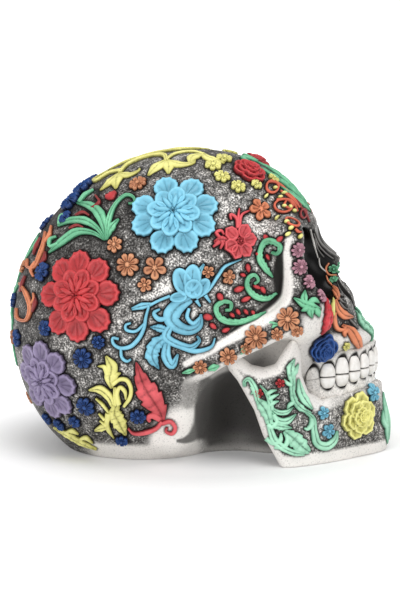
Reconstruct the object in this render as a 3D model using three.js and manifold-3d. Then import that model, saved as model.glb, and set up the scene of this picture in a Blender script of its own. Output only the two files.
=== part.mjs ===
// A sugar skull: a cast resin skull with a bonded jaw, rows of teeth and moulded flowers, leaves and scrolls.
// Millimetres, +Z up. The skull faces +X, is alike on both sides of the plane Y = 0 and stands on Z = 0.
import * as THREE from "three";
import { mergeVertices } from "three/addons/utils/BufferGeometryUtils.js";
import Module from "manifold-3d";

const { abs, cos, hypot, max, min, PI, sin } = Math;
const wasm = await Module();
wasm.setup();

// Clearances
const BOND_GAP = 0.4;
const CUT_GAP = 0.2;

// The masses run on below the floor by this much before the casting's foot is cut flat.
const FOOT_TRIM = 5;

// Masses of the cranium casting. A place is [forward, sideways, up].
const OCCIPUT = { at: [-23.3, 0, 48.5], half: [51.9, 50, 60] };
const FOREHEAD = { at: [1.5, 0, 76.5], half: [46.5, 45, 42.5] };
const BROW = { from: [39.5, 5, 88], to: [36.5, 32, 90], radius: 4.6, flat: 1 };
const EYE_RIM = { from: [36.5, 35.5, 89], to: [42.5, 35, 65], radius: 4.6, flat: 1 };
const CHEEK_RIM = { from: [43, 32, 64], to: [53, 12, 64.5], radius: 4.2, flat: 1 };
const CHEEKBONE = { at: [42, 30, 58], half: [11, 11, 9] };
const CHEEK_ARCH = { from: [-4, 42, 37.5], to: [38, 40, 58], radius: 5.2, flat: 1.6 };
const UPPER_JAW = { at: [41, 0, 55], half: [22, 25, 17] };
const NOSE_BONE = { from: [42.2, 0, 88], to: [46.6, 0, 79.5], radius: 3.4, flat: 0.7 };
const NOSE_TIP = { from: [46.6, 0, 79.5], to: [53.8, 0, 74.8], radius: 2.8, flat: 0.7 };
const NOSE_SIDE = { from: [49.5, 6.5, 77], to: [55, 11.5, 60], radius: 3.6, flat: 1 };
const GUM = { at: [40, 0, 46], half: [29, 25.5, 8] };
const CHEEK_WALL = { at: [38, 0, 42], half: [14, 29, 18] };
const TEMPLE_WALL = { at: [26, 0, 57], half: [17, 37, 12] };
const MASTOID = { at: [-8, 30, 22], half: [9.5, 9, 18] };
const MOUTH_CORE = { at: [34, 0, 26], half: [27, 20, 36] };
const SKULL_BASE = { at: [4, 0, 14], half: [38, 13, 30] };

// Hollows of the cranium casting.
const EYE_SOCKET = { from: [46, 19.5, 80.5], to: [52.5, 19, 74.5], radius: 11, flat: 0.95 };
const NOSE_HOLE = { at: [60, 0, 66], half: [13, 8, 11] };
const TEMPLE = { at: [25, 52, 75], half: [12, 14, 20] };
const BEHIND_JAW = { at: [17.5, 46, 11], half: [16.5, 36, 26] };

// The lower jaw: a horseshoe wall whose side view is an outline.
const JAW = { bend: 34, reach: 40, halfWidth: 38.5, wall: 10, round: 5, taper: 1.35 };
const CHIN = { at: [62, 0, 8], half: [13, 13, 16] };
const JAW_RIM = { back: [50, 24.5], front: [74, 29] };
const JAW_OUTLINE = [
  [37.5, -5], [80, -5], [78, 12], JAW_RIM.front, JAW_RIM.back, [45, 28], [42.5, 35], [42, 44], [39.5, 51],
  [36, 46], [32.5, 40], [28, 38.5], [23, 39.5], [18.5, 43.5], [10.5, 42.5], [18, 33.5], [24.5, 22], [28, 12],
  [32, 5],
];

// The rows of teeth: bands round a dental arch, scalloped tooth by tooth, that meet on a sloping bite plane.
const DENTAL_ARCH = { bend: 38, reach: 33.5, halfWidth: 26, sweep: 69 };
const TOOTH = { count: 12, depth: 5.5, upper: 8, neck: 1.3, tip: 0.9, groove: 1.3, notch: 0.1, bulge: 0.33 };
const TOOTH_POINTS = 3;
const BITE = { front: 36, slope: 0.15 };

// How softly the masses run together.
const BLEND = { skull: 20, face: 6, rim: 9, arch: 5, hollow: 5 };

// The grid that the castings are skinned on: fine cells on the face and jaw, coarse ones on the braincase.
const CELL = { fine: 4.6, side: 5, coarse: 8.9 };
const BACK = OCCIPUT.at[0] - OCCIPUT.half[0];
const TOP = FOREHEAD.at[2] + FOREHEAD.half[2];
const WIDEST = OCCIPUT.half[1];
const CHIN_END = CHIN.at[0] + CHIN.half[0];
const EAR = MASTOID.at[0] + MASTOID.half[0];
const BROW_LINE = BROW.to[2] + BROW.radius;
const GRID = {
  forward: [BACK - CELL.fine, [EAR, CELL.coarse], [CHIN_END + CELL.fine, CELL.fine]],
  sideways: [CELL.side / 2, [WIDEST + CELL.side, CELL.side]],
  up: [-FOOT_TRIM - CELL.fine, [BROW_LINE, CELL.fine], [TOP + CELL.fine, CELL.coarse]],
};
const SETTLE = { probe: 0.05, passes: 2, leastSlope: 0.1, mostMove: 1 };
const WELD = 1e-4;

// Heights and shapes of the mouldings.
const RELIEF = { edge: 0.9, ridge: 1.5, rise: 1.1, lap: 0.2, laps: 3 };
const DRAPE = { step: 5, turns: 1.5, reach: 8, drop: 12 };
const BLOOM = { lip: 0.96, hub: 0.2, root: 0.3, waist: 0.65, innerLip: 0.9 };
const PEONY = { radius: 16.5, petals: 8, notch: 0.22, inner: 0.62 };
const FLOWER_NOTCH = 0.3;
const PETAL_POINTS = 3;
const CAST = { root: 1, petals: 5, petalPoints: 2 };
const GARLAND_FLOWERS = 3;
const VINE = { start: 0.3, swell: 4, thinning: 0.6 };
const LEAF = { tip: 0.2, from: 0.1, span: 0.85 };
const GARLAND = { waist: 0.4, pointsPerFlower: 4 };
const SIDE_VIEW = 2 * WIDEST;
const ROUGHNESS = 0.7;

const STONE = 0x8d877f;
const BONE = 0xd8d4cc;
const ENAMEL = 0xf2f0ea;
const SKY = 0x5bb8e4;
const SCARLET = 0xd8343c;
const LILAC = 0x9a80b8;
const LEMON = 0xe2d84c;
const MINT = 0x7edcae;
const EMERALD = 0x4cc488;
const NAVY = 0x1f3f8c;
const ORANGE = 0xe2703a;
const AMBER = 0xe8965a;
const MAUVE = 0xb8688e;

// The share of its width that a strip has along its route.
const taper = (share) => min(1, VINE.start + VINE.swell * share) * (1 - VINE.thinning * share);
const belly = (share) => max(LEAF.tip, sin(PI * (LEAF.from + LEAF.span * share)));
const beads = (share) => GARLAND.waist + (1 - GARLAND.waist) * abs(sin(GARLAND_FLOWERS * PI * share));

const vine = (width, ...route) => ({ route, width, outline: taper });
const leaf = (width, ...route) => ({ route, width, outline: belly });
const garland = (width, ...route) => ({
  route, width, outline: beads, turns: GARLAND_FLOWERS * GARLAND.pointsPerFlower,
});
const flower = (radius, petals, turn, centre = [0, 0]) => ({
  radius, petals, turn, centre, notch: FLOWER_NOTCH,
});
const bothSides = (make, width, ...route) => [
  make(width, ...route),
  make(width, ...route.map(([s, t]) => [s, -t])),
];

// Mouldings bonded to the right side of the castings. A route or centre is [along, up] on a sheet laid on the
// casting at the place that the side view gives as [forward, up]. The left side has their mirror images.
const MOULDINGS = [
  { name: "blue_peony", at: [-5.5, 98], color: SKY, flowers: [{ ...PEONY, turn: 25, centre: [0, 0] }] },
  { name: "red_peony", at: [-42, 67.5], color: SCARLET, flowers: [{ ...PEONY, turn: 3, centre: [0, 0] }] },
  { name: "lilac_peony", at: [-56, 33.5], color: LILAC, flowers: [{ ...PEONY, turn: 20, centre: [0, 0] }] },
  {
    name: "blue_scroll", at: [-3, 62], color: SKY,
    strips: [
      vine(6, [7, 18], [4, 8], [-1, 1], [0, -6], [5, -8], [9, -4]),
      leaf(5, [3, 6], [1.5, 12], [0, 18.5]),
      vine(2.4, [5, 8], [11, 10], [15, 15], [20.5, 18.5]),
      vine(2.6, [0, 4], [-8, 3], [-13, -4], [-19, -13], [-25, -10]),
      vine(3.4, [-1, -4], [-5, -9], [-1, -14], [8, -12]),
      leaf(5.5, [-4, -9.5], [-10, -14], [-7, -21]),
    ],
  },
  {
    name: "yellow_scroll", at: [-29, 25], color: LEMON,
    strips: [
      leaf(5, [0, 4], [-1, 13], [0.5, 21]),
      leaf(3.6, [0.5, 1], [-3, 6.5], [-9, 7.5]),
      vine(2.2, [0, 5], [4, 11], [7.5, 8], [6, 1.5], [2, -1.5]),
      vine(3.4, [0, 6], [0, -1], [-1, -6]),
      leaf(5, [-0.5, -3], [3.5, -8], [6, -13.5]),
      leaf(3.6, [-0.5, -4], [-2.5, -9], [-6.5, -11]),
    ],
  },
  {
    name: "red_leaf", at: [-13.5, 29], color: SCARLET,
    strips: [
      leaf(9.5, [3.5, -10], [0, -1], [-6, 14]),
      vine(1.8, [3, -8.5], [1, -12.5], [-3.5, -15], [-7.5, -15]),
      vine(1.8, [3, -8.5], [6, -12], [9, -14.5], [6.5, -16.5]),
    ],
  },
  {
    name: "red_hibiscus", at: [18.5, 87.5], color: SCARLET,
    flowers: [flower(6.6, 5, 55), flower(3.4, 5, 20, [-8, 0])],
    strips: [vine(2, [-2, 0], [-8, 0]), vine(1.6, [-0.5, 4], [0, 9], [1, 13])],
  },
  {
    name: "green_fan", at: [-32, 88], color: EMERALD,
    strips: [
      leaf(4.6, [0.4, -1.8], [-3, 11], [-12.5, 16.5]),
      leaf(3.4, [0.9, -1.4], [-6, 7], [-13, 9], [-22, 6]),
      leaf(3.2, [0.7, -1.1], [-7, 3.5], [-15, 2], [-25, -6]),
      vine(2.8, [0, -2.2], [1.5, 8], [5, 16.5], [10, 19], [12, 16]),
    ],
  },
  { name: "navy_rose", at: [49.5, 48], color: NAVY, flowers: [flower(5.2, 5, 10)] },
  {
    name: "yellow_rose", at: [JAW.bend + JAW.reach - 11.5, 15.5], color: LEMON,
    flowers: [flower(8.8, 6, 15)],
  },
  {
    name: "jaw_scroll", at: [31.5, 23], color: MINT, drop: 2,
    strips: [
      vine(3.4, [-14, 10], [-12, 13.5], [-8, 9], [-5, 2], [-1, -6], [0, -12], [6, -16.5], [13, -17]),
      vine(2.8, [-3.5, -1], [1, 3], [0.5, 8.5]),
      vine(2.4, [-2, -3], [3, -5], [9.5, -1], [13, 0]),
      vine(3.4, [14, -1], [10, 3], [8, 10], [8.5, 18]),
      leaf(4, [-0.5, -7], [6, -8.5], [12, -11.5]),
    ],
  },
  {
    name: "jaw_curl", at: [JAW.bend + JAW.reach - 23.5, 10.5], color: MINT,
    strips: [vine(3.4, [-7, 11], [-4.5, 7.5], [-4, 2], [-1, -3], [4, -2.5], [7, 2])],
  },
  {
    name: "cheek_garland", at: [25.5, 52], color: AMBER, drop: 2,
    strips: [garland(7.2, [15, 8.5], [3, 2], [-14, -9.5])],
  },
  {
    name: "eye_garland", at: [42, 76], color: MAUVE, drop: 2,
    strips: [garland(5.6, [-1.5, 9.5], [0, 1.5], [3, -7])],
  },
  {
    name: "temple_hook", at: [29.5, 81.5], color: EMERALD,
    strips: [vine(2.8, [2, -7], [-2.5, -1], [-2.5, 4], [1, 6.5], [4, 4], [2.5, 1.5])],
  },
  {
    name: "temple_curl", at: [26, 71], color: EMERALD,
    strips: [vine(2.8, [7, -3], [1, -4.5], [-4, -1], [-3, 3], [0, 3])],
  },
  {
    name: "temple_scroll", at: [17.5, 61], color: EMERALD,
    strips: [vine(3, [8, -1], [4, -2.5], [-3, -4], [-8, 1], [-5, 4.5], [-2, 2.5])],
  },
  { name: "orange_star", at: [26, 99], color: ORANGE, flowers: [flower(4.6, 5, 90)] },
  { name: "orange_bloom", at: [-22.5, 79], color: AMBER, flowers: [flower(4.4, 8, 0)] },
  {
    name: "nose_scroll", at: [58, EYE_SOCKET.to[2] - EYE_SOCKET.radius - 6], color: ORANGE,
    strips: [
      vine(3, [-2.5, 9], [-5, 4], [-3, -1.5], [1, -3.5], [4, -0.5]),
      vine(3, [-3, -1], [2, -6.5], [6, -10], [8, -13]),
    ],
  },
  { name: "crown_rose", at: [21, 112], color: SCARLET, flowers: [flower(6.2, 5, 0)] },
  { name: "navy_bloom", at: [-40, 44], color: NAVY, flowers: [flower(4, 6, 0)] },
  {
    name: "cheek_leaf", at: [45, 64], color: EMERALD,
    strips: [
      leaf(4, [-4.5, 2], [0, 0], [4.5, -2]),
      leaf(3, [-2, 0.5], [0.5, 4.5]),
      leaf(3, [-1, 0], [2.5, -4.5]),
    ],
  },
];

// Mouldings on the middle plane, laid where a line from this place to the middle of the head meets it.
const MIDLINE_MOULDINGS = [
  {
    name: "crown_scroll", from: [-14, 0, TOP + 30], color: LEMON,
    strips: [
      vine(4, [-26, 0], [-8, 0], [10, 0], [20, 0]),
      ...bothSides(leaf, 5, [-22, 0.5], [-22, 10], [-16, 18]),
      ...bothSides(leaf, 5, [-6, 0.5], [-5, 11], [2, 19]),
      ...bothSides(leaf, 4.5, [10, 0.5], [13, 8], [20, 13]),
    ],
  },
  {
    name: "forehead_crest", from: [70, 0, TOP + 27], color: EMERALD,
    strips: [
      leaf(9, [-12, 0], [0, 0], [12, 0]),
      ...bothSides(leaf, 4.5, [9, 1], [4, 5], [-5, 8.5], [-12, 7.5]),
    ],
  },
  { name: "chin_leaf", from: [CHIN_END + 45, 0, 0], color: MINT, strips: [leaf(8, [-8, 0], [0, 0], [8, 0])] },
];

// Smaller flowers, scrolls and rings that are cast in one with the cranium, placed as the mouldings are.
const small = (at, radius, turn = 0) => ({ at, flowers: [flower(radius, CAST.petals, turn)] });
const CAST_RELIEF = [
  small([-21, 108], 3.2), small([-12, 77.5], 3.6, 20), small([-45, 16.5], 2.6), small([-52, 13.5], 2.8),
  small([-58, 74], 3.6), small([-69.5, 46], 3.4), small([7, 114.5], 3.2), small([11, 111], 3, 20),
  small([17.5, 107], 3), small([-50, 99], 3.4), small([-46, 103.5], 3.2),
  { at: [-60, 79], strips: [vine(2.4, [0, 12], [1.5, 5], [0, 0], [-3, -3], [-9, 0], [-11, 5])] },
  { at: [-62.5, 59.5], strips: [vine(2.6, [-14, 11], [-4, 6], [0, 0], [-3, -4.5], [-11, -3.5], [-14, 1])] },
  { at: [31, 105], strips: [vine(1.6, [2.6, 1], [0, 2.8], [-2.8, 0], [0, -2.8], [2.2, -2])] },
  { at: [35, 99], strips: [vine(1.6, [3, 1], [0, 3.2], [-3.2, 0], [0, -3.2], [2.6, -2])] },
];

// Distance fields, negative inside. A point is [x, distance from the plane Y = 0, z].
function ellipsoid([x, y, z], { at, half }) {
  const u = [(x - at[0]) / half[0], (y - at[1]) / half[1], (z - at[2]) / half[2]];
  const near = hypot(...u);
  const slope = hypot(u[0] / half[0], u[1] / half[1], u[2] / half[2]);
  return slope > 0 ? (near * (near - 1)) / slope : -min(...half);
}

function bar([x, y, z], { from, to, radius, flat }) {
  const d = [to[0] - from[0], (to[1] - from[1]) * flat, to[2] - from[2]];
  const p = [x - from[0], (y - from[1]) * flat, z - from[2]];
  const share = (p[0] * d[0] + p[1] * d[1] + p[2] * d[2]) / (d[0] ** 2 + d[1] ** 2 + d[2] ** 2);
  const t = max(0, min(1, share));
  return hypot(p[0] - d[0] * t, p[1] - d[1] * t, p[2] - d[2] * t) - radius;
}

function join(a, b, soft) {
  const h = max(soft - abs(a - b), 0) / soft;
  return min(a, b) - (h * h * soft) / 4;
}

const carve = (a, b, soft) => -join(-a, b, soft);

// Signed distance to a closed outline in the side view.
function outlineDistance(x, z, outline) {
  let nearest = Infinity;
  let inside = false;
  outline.forEach(([ax, az], i) => {
    const [bx, bz] = outline[(i + 1) % outline.length];
    const share = ((x - ax) * (bx - ax) + (z - az) * (bz - az)) / ((bx - ax) ** 2 + (bz - az) ** 2);
    const t = max(0, min(1, share));
    nearest = min(nearest, hypot(x - ax - t * (bx - ax), z - az - t * (bz - az)));
    if (az > z !== bz > z && x < ax + ((z - az) / (bz - az)) * (bx - ax)) inside = !inside;
  });
  return inside ? -nearest : nearest;
}

function craniumField(p) {
  let d = join(ellipsoid(p, OCCIPUT), ellipsoid(p, FOREHEAD), BLEND.skull);
  d = carve(d, ellipsoid(p, TEMPLE), BLEND.hollow);
  d = join(d, ellipsoid(p, SKULL_BASE), BLEND.face);
  d = join(d, ellipsoid(p, MOUTH_CORE), BLEND.face);
  d = join(d, ellipsoid(p, CHEEK_WALL), BLEND.face);
  d = join(d, ellipsoid(p, TEMPLE_WALL), BLEND.face);
  d = join(d, ellipsoid(p, UPPER_JAW), BLEND.face);
  d = join(d, ellipsoid(p, GUM), BLEND.face);
  d = join(d, ellipsoid(p, CHEEKBONE), BLEND.face);
  d = join(d, bar(p, NOSE_BONE), BLEND.face);
  d = join(d, bar(p, NOSE_TIP), BLEND.arch);
  d = join(d, bar(p, NOSE_SIDE), BLEND.face);
  d = join(d, bar(p, CHEEK_RIM), BLEND.face);
  d = carve(d, ellipsoid(p, BEHIND_JAW), BLEND.hollow);
  d = join(d, bar(p, BROW), BLEND.face);
  d = join(d, bar(p, EYE_RIM), BLEND.rim);
  d = join(d, bar(p, CHEEK_ARCH), BLEND.arch);
  d = join(d, ellipsoid(p, MASTOID), BLEND.face);
  d = carve(d, bar(p, EYE_SOCKET), BLEND.hollow / 2);
  d = carve(d, ellipsoid(p, NOSE_HOLE), BLEND.hollow / 2);
  return max(d, -FOOT_TRIM - p[2]);
}

function jawField(p) {
  const [x, y, z] = p;
  const forward = max(x - JAW.bend, 0) / JAW.reach;
  const round = (forward ** JAW.taper + (y / JAW.halfWidth) ** JAW.taper) ** (1 / JAW.taper);
  const outer = join((round - 1) * JAW.halfWidth, ellipsoid(p, CHIN), BLEND.face);
  const wall = max(outer, -outer - JAW.wall);
  const side = outlineDistance(x, z, JAW_OUTLINE);
  return max(-join(-wall, -side, JAW.round), BOND_GAP - craniumField(p));
}

// Grid lines from low to high, each pair of stops divided into steps of about the size given with it.
function gridLines(low, ...stops) {
  const lines = [low];
  for (const [stop, step] of stops) {
    const from = lines.at(-1);
    const count = Math.ceil((stop - from) / step);
    for (let i = 1; i <= count; i++) lines.push(from + ((stop - from) * i) / count);
  }
  return lines;
}

// The closed surface where a field is zero: a vertex in each grid cell that it crosses, and a square across
// each grid edge that it crosses.
function skin(field, xs, ys, zs) {
  const [nx, ny, nz] = [xs.length, ys.length, zs.length];
  const node = (i, j, k) => (i * ny + j) * nz + k;
  const signed = (x, y, z) => field([x, abs(y), z]);
  const values = new Float64Array(nx * ny * nz);
  for (let i = 0; i < nx; i++)
    for (let j = 0; j < ny; j++)
      for (let k = 0; k < nz; k++) values[node(i, j, k)] = signed(xs[i], ys[j], zs[k]);

  const points = [];
  const cellPoint = new Map();
  const steps = [[1, 0, 0], [0, 1, 0], [0, 0, 1]];
  const corners = [0, 1, 2, 3, 4, 5, 6, 7].map((c) => [c & 1, (c >> 1) & 1, c >> 2]);
  function settle(p) {
    const { probe, passes, leastSlope, mostMove } = SETTLE;
    for (let pass = 0; pass < passes; pass++) {
      const beside = (s, far) => signed(p[0] + far * s[0], p[1] + far * s[1], p[2] + far * s[2]);
      const g = steps.map((s) => (beside(s, probe) - beside(s, -probe)) / (2 * probe));
      const slope = max(g[0] ** 2 + g[1] ** 2 + g[2] ** 2, leastSlope);
      const rise = max(-mostMove, min(mostMove, signed(...p) / slope));
      p = p.map((v, axis) => v - rise * g[axis]);
    }
    return p;
  }
  for (let i = 0; i + 1 < nx; i++)
    for (let j = 0; j + 1 < ny; j++)
      for (let k = 0; k + 1 < nz; k++) {
        const sum = [0, 0, 0];
        let crossings = 0;
        for (const [a, b, c] of corners)
          steps.forEach(([da, db, dc]) => {
            if (a + da > 1 || b + db > 1 || c + dc > 1) return;
            const v0 = values[node(i + a, j + b, k + c)];
            const v1 = values[node(i + a + da, j + b + db, k + c + dc)];
            if (v0 < 0 === v1 < 0) return;
            const start = [xs[i + a], ys[j + b], zs[k + c]];
            const end = [xs[i + a + da], ys[j + b + db], zs[k + c + dc]];
            const t = v0 / (v0 - v1);
            start.forEach((s, n) => (sum[n] += s + (end[n] - s) * t));
            crossings++;
          });
        if (!crossings) continue;
        cellPoint.set(node(i, j, k), points.length);
        points.push(settle(sum.map((s) => s / crossings)));
      }

  const triangles = [];
  const miss = (a, b) => abs(signed(...points[a].map((v, n) => (v + points[b][n]) / 2)));
  for (let i = 0; i + 1 < nx; i++)
    for (let j = 0; j + 1 < ny; j++)
      for (let k = 0; k + 1 < nz; k++)
        steps.forEach(([da, db, dc], axis) => {
          const v0 = values[node(i, j, k)];
          const v1 = values[node(i + da, j + db, k + dc)];
          if (v0 < 0 === v1 < 0) return;
          const [s, t] = [steps[(axis + 1) % 3], steps[(axis + 2) % 3]];
          const around = [[0, 0], [1, 0], [1, 1], [0, 1]].map(([m, n]) =>
            cellPoint.get(node(i - m * s[0] - n * t[0], j - m * s[1] - n * t[1], k - m * s[2] - n * t[2])),
          );
          const [a, b, c, d] = v0 < 0 ? around : around.reverse();
          triangles.push(...(miss(a, c) < miss(b, d) ? [a, b, c, a, c, d] : [a, b, d, b, c, d]));
        });
  const geometry = new THREE.BufferGeometry();
  geometry.setAttribute("position", new THREE.Float32BufferAttribute(points.flat(), 3));
  geometry.setIndex(triangles);
  return geometry;
}

// Solids for joining and cutting, and back.
function solid(geometry) {
  const bare = geometry.clone();
  bare.deleteAttribute("normal");
  bare.deleteAttribute("uv");
  const merged = mergeVertices(bare, WELD);
  const vertProperties = merged.attributes.position.array;
  const triVerts = new Uint32Array(merged.index.array);
  return new wasm.Manifold(new wasm.Mesh({ numProp: 3, vertProperties, triVerts }));
}

function geometryOf(made) {
  const { vertProperties, triVerts } = made.getMesh();
  const geometry = new THREE.BufferGeometry();
  geometry.setAttribute("position", new THREE.BufferAttribute(vertProperties, 3));
  geometry.setIndex(new THREE.BufferAttribute(triVerts, 1));
  geometry.computeVertexNormals();
  return geometry;
}

// Rings of points, all alike in number, skinned into a closed body whose ends are capped.
function loft(rings) {
  const count = rings[0].length;
  const triangles = [];
  for (let i = 0; i + 1 < rings.length; i++)
    for (let j = 0; j < count; j++) {
      const [a, b] = [i * count + j, i * count + ((j + 1) % count)];
      triangles.push(a, b, b + count, a, b + count, a + count);
    }
  const last = (rings.length - 1) * count;
  for (let j = 1; j + 1 < count; j++) triangles.push(0, j + 1, j, last, last + j, last + j + 1);
  const geometry = new THREE.BufferGeometry();
  geometry.setAttribute("position", new THREE.Float32BufferAttribute(rings.flat(2), 3));
  geometry.setIndex(triangles);
  return geometry;
}

// The castings, their feet cut flat by the floor.
const floorSize = 4 * TOP;
const floor = new THREE.BoxGeometry(floorSize, floorSize, floorSize).translate(0, 0, -floorSize / 2);
const oneSide = gridLines(...GRID.sideways);
const bothYs = [...oneSide.toReversed().map((y) => -y), ...oneSide];
const cast = (field) => {
  const rough = skin(field, gridLines(...GRID.forward), bothYs, gridLines(...GRID.up));
  return geometryOf(solid(rough).subtract(solid(floor)));
};
const cranium = cast(craniumField);
const jaw = cast(jawField);
const CASTINGS = [new THREE.Mesh(cranium), new THREE.Mesh(jaw)];

// A casting with its clearance, to cut what sits on it.
function grown(casting, gap) {
  const { position, normal } = casting.attributes;
  const geometry = casting.clone();
  const places = position.array.map((v, i) => v + normal.array[i] * gap);
  geometry.setAttribute("position", new THREE.BufferAttribute(places, 3));
  return solid(geometry);
}

// One row of teeth, from the bite plane to its roots.
function toothRow(upper, root) {
  const rings = [];
  const stations = TOOTH.count * TOOTH_POINTS;
  for (let i = 0; i <= stations; i++) {
    const turn = ((2 * i) / stations - 1) * DENTAL_ARCH.sweep * (PI / 180);
    const between = i % TOOTH_POINTS === 0 ? 1 : 0;
    const point = (inset, share) => {
      const x = DENTAL_ARCH.bend + (DENTAL_ARCH.reach - inset) * cos(turn);
      const y = (DENTAL_ARCH.halfWidth - inset) * sin(turn);
      const bite = BITE.front + (x - DENTAL_ARCH.bend - DENTAL_ARCH.reach) * BITE.slope;
      const edge = bite + (upper ? 0.5 : -0.5) * BOND_GAP;
      return [x, y, edge + (root(x, bite) - edge) * share];
    };
    const ring = [
      point(TOOTH.tip + between * TOOTH.groove, between * TOOTH.notch),
      point(between * TOOTH.groove, TOOTH.bulge),
      point(TOOTH.neck + between * TOOTH.groove, 1),
      point(TOOTH.depth, 1),
      point(TOOTH.depth, 0),
    ];
    rings.push(upper ? ring.reverse() : ring);
  }
  return solid(loft(rings));
}
const upperTeeth = toothRow(true, (x, bite) => bite + TOOTH.upper).subtract(grown(cranium, BOND_GAP));
const rimSlope = (JAW_RIM.front[1] - JAW_RIM.back[1]) / (JAW_RIM.front[0] - JAW_RIM.back[0]);
const lowerTeeth = toothRow(false, (x) => JAW_RIM.front[1] + (x - JAW_RIM.front[0]) * rimSlope + BOND_GAP);

const castingField = ({ x, y, z }) => min(craniumField([x, abs(y), z]), jawField([x, abs(y), z]));

// A sheet laid on the castings: gives the place at [along, up] on it, so high above the casting. Past an edge
// of the casting it hangs no lower than the drop.
const ray = new THREE.Raycaster();
function sheet(from, way, drop = DRAPE.drop) {
  ray.set(from, way);
  ray.far = Infinity;
  const [{ point: origin, normal: out }] = ray.intersectObjects(CASTINGS);
  const along = new THREE.Vector3(1, 0, 0).addScaledVector(out, -out.x).normalize();
  const up = out.clone().cross(along);
  return ([s, t], height) => {
    const place = origin.clone().addScaledVector(along, s).addScaledVector(up, t);
    ray.set(place.clone().addScaledVector(out, DRAPE.reach), out.clone().negate());
    ray.far = DRAPE.reach + drop;
    const [hit] = ray.intersectObjects(CASTINGS);
    const sunk = hit ? max(0, -castingField(hit.point)) : 0;
    const fall = hit ? hit.distance : ray.far;
    return place.addScaledVector(out, height + sunk + DRAPE.reach - fall).toArray();
  };
}

// A leaf or vine: a ridged strip along a route, on a base so high above the casting.
function strip(lay, { route, width, outline, turns = DRAPE.turns * (route.length - 1) }, base) {
  const curve = new THREE.CatmullRomCurve3(route.map(([s, t]) => new THREE.Vector3(s, t, 0)));
  const steps = Math.ceil(max(turns, curve.getLength() / DRAPE.step));
  const under = base + width ** 2 / (8 * OCCIPUT.half[1]);
  const ridge = max(base, 0) + RELIEF.ridge;
  const rings = [];
  for (let i = 0; i <= steps; i++) {
    const middle = curve.getPoint(i / steps);
    const way = curve.getTangent(i / steps);
    const w = (width / 2) * outline(i / steps);
    const left = [middle.x - way.y * w, middle.y + way.x * w];
    const right = [middle.x + way.y * w, middle.y - way.x * w];
    rings.push([lay(left, under), lay([middle.x, middle.y], under - base + ridge), lay(right, under)]);
  }
  return solid(loft(rings));
}

// A flower: petals round a raised centre, in one tier, or in two where an inner one is given.
function blossom(lay, { radius, petals, turn, centre, notch, inner }, base, petalPoints) {
  const count = petals * petalPoints;
  const ring = (share, height, cut) =>
    Array.from({ length: count }, (_, i) => {
      const angle = (turn * PI) / 180 + (2 * PI * i) / count;
      const far = radius * share * (1 - cut * (i % petalPoints === 0 ? 1 : 0));
      return lay([centre[0] + far * cos(angle), centre[1] + far * sin(angle)], height);
    });
  const { edge, rise } = RELIEF;
  const rings = [ring(1, base, notch), ring(BLOOM.lip, edge, notch)];
  if (inner) {
    rings.unshift(ring(BLOOM.root, base, 0), ring(BLOOM.waist, base, 0));
    rings.push(ring(inner, edge, 0), ring(inner * BLOOM.innerLip, edge + rise, 0));
  }
  rings.push(ring(BLOOM.hub, edge + rise, 0));
  return solid(loft(rings));
}

// A moulding: its flowers and strips joined.
function moulding(lay, { flowers = [], strips = [] }) {
  const bodies = [
    ...flowers.map((f) => blossom(lay, f, BOND_GAP, PETAL_POINTS)),
    ...strips.map((s, i) => strip(lay, s, BOND_GAP + RELIEF.lap * ((flowers.length + i) % RELIEF.laps))),
  ];
  return bodies.reduce((joined, body) => joined.add(body));
}

// A moulding cut clear of the castings.
const CLEARANCES = CASTINGS.map(({ geometry }) => grown(geometry, CUT_GAP));
const cutClear = (body) => geometryOf(CLEARANCES.reduce((cut, casting) => cut.subtract(casting), body));

// The mirror image across the plane Y = 0, its faces turned to point out.
function mirrored(geometry) {
  const image = geometry.clone().scale(1, -1, 1);
  image.setIndex([...geometry.index.array].reverse());
  return image;
}

// The cranium with its cast relief, alike on both sides.
const sideView = ([forward, up], drop) =>
  sheet(new THREE.Vector3(forward, -SIDE_VIEW, up), new THREE.Vector3(0, 1, 0), drop);
const rooted = CAST_RELIEF.flatMap(({ at, flowers = [], strips = [] }) => [
  ...flowers.map((f) => blossom(sideView(at), f, -CAST.root, CAST.petalPoints)),
  ...strips.map((s) => strip(sideView(at), s, -CAST.root)),
]);
const relief = rooted.flatMap((body) => [body, solid(mirrored(geometryOf(body)))]);
const reliefCranium = relief.reduce((joined, body) => joined.add(body), solid(cranium));

const skull = new THREE.Group();
function piece(name, geometry, color) {
  const mesh = new THREE.Mesh(geometry, new THREE.MeshStandardMaterial({ color, roughness: ROUGHNESS }));
  mesh.name = name;
  skull.add(mesh);
}
piece("cranium", geometryOf(reliefCranium), STONE);
piece("lower_jaw", jaw, BONE);
piece("upper_teeth", geometryOf(upperTeeth), ENAMEL);
piece("lower_teeth", geometryOf(lowerTeeth), ENAMEL);

for (const { name, from, color, ...shape } of MIDLINE_MOULDINGS) {
  const start = new THREE.Vector3(...from);
  const way = new THREE.Vector3(...OCCIPUT.at).sub(start).normalize();
  piece(name, cutClear(moulding(sheet(start, way), shape)), color);
}
for (const { name, at, color, drop, ...shape } of MOULDINGS) {
  const body = moulding(sideView(at, drop), shape);
  piece(`right_${name}`, cutClear(body), color);
  piece(`left_${name}`, cutClear(solid(mirrored(geometryOf(body)))), color);
}

export default skull;
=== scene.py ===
import math

import bpy
import numpy as np
import openvdb
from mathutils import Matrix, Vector
from mathutils.kdtree import KDTree


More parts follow.
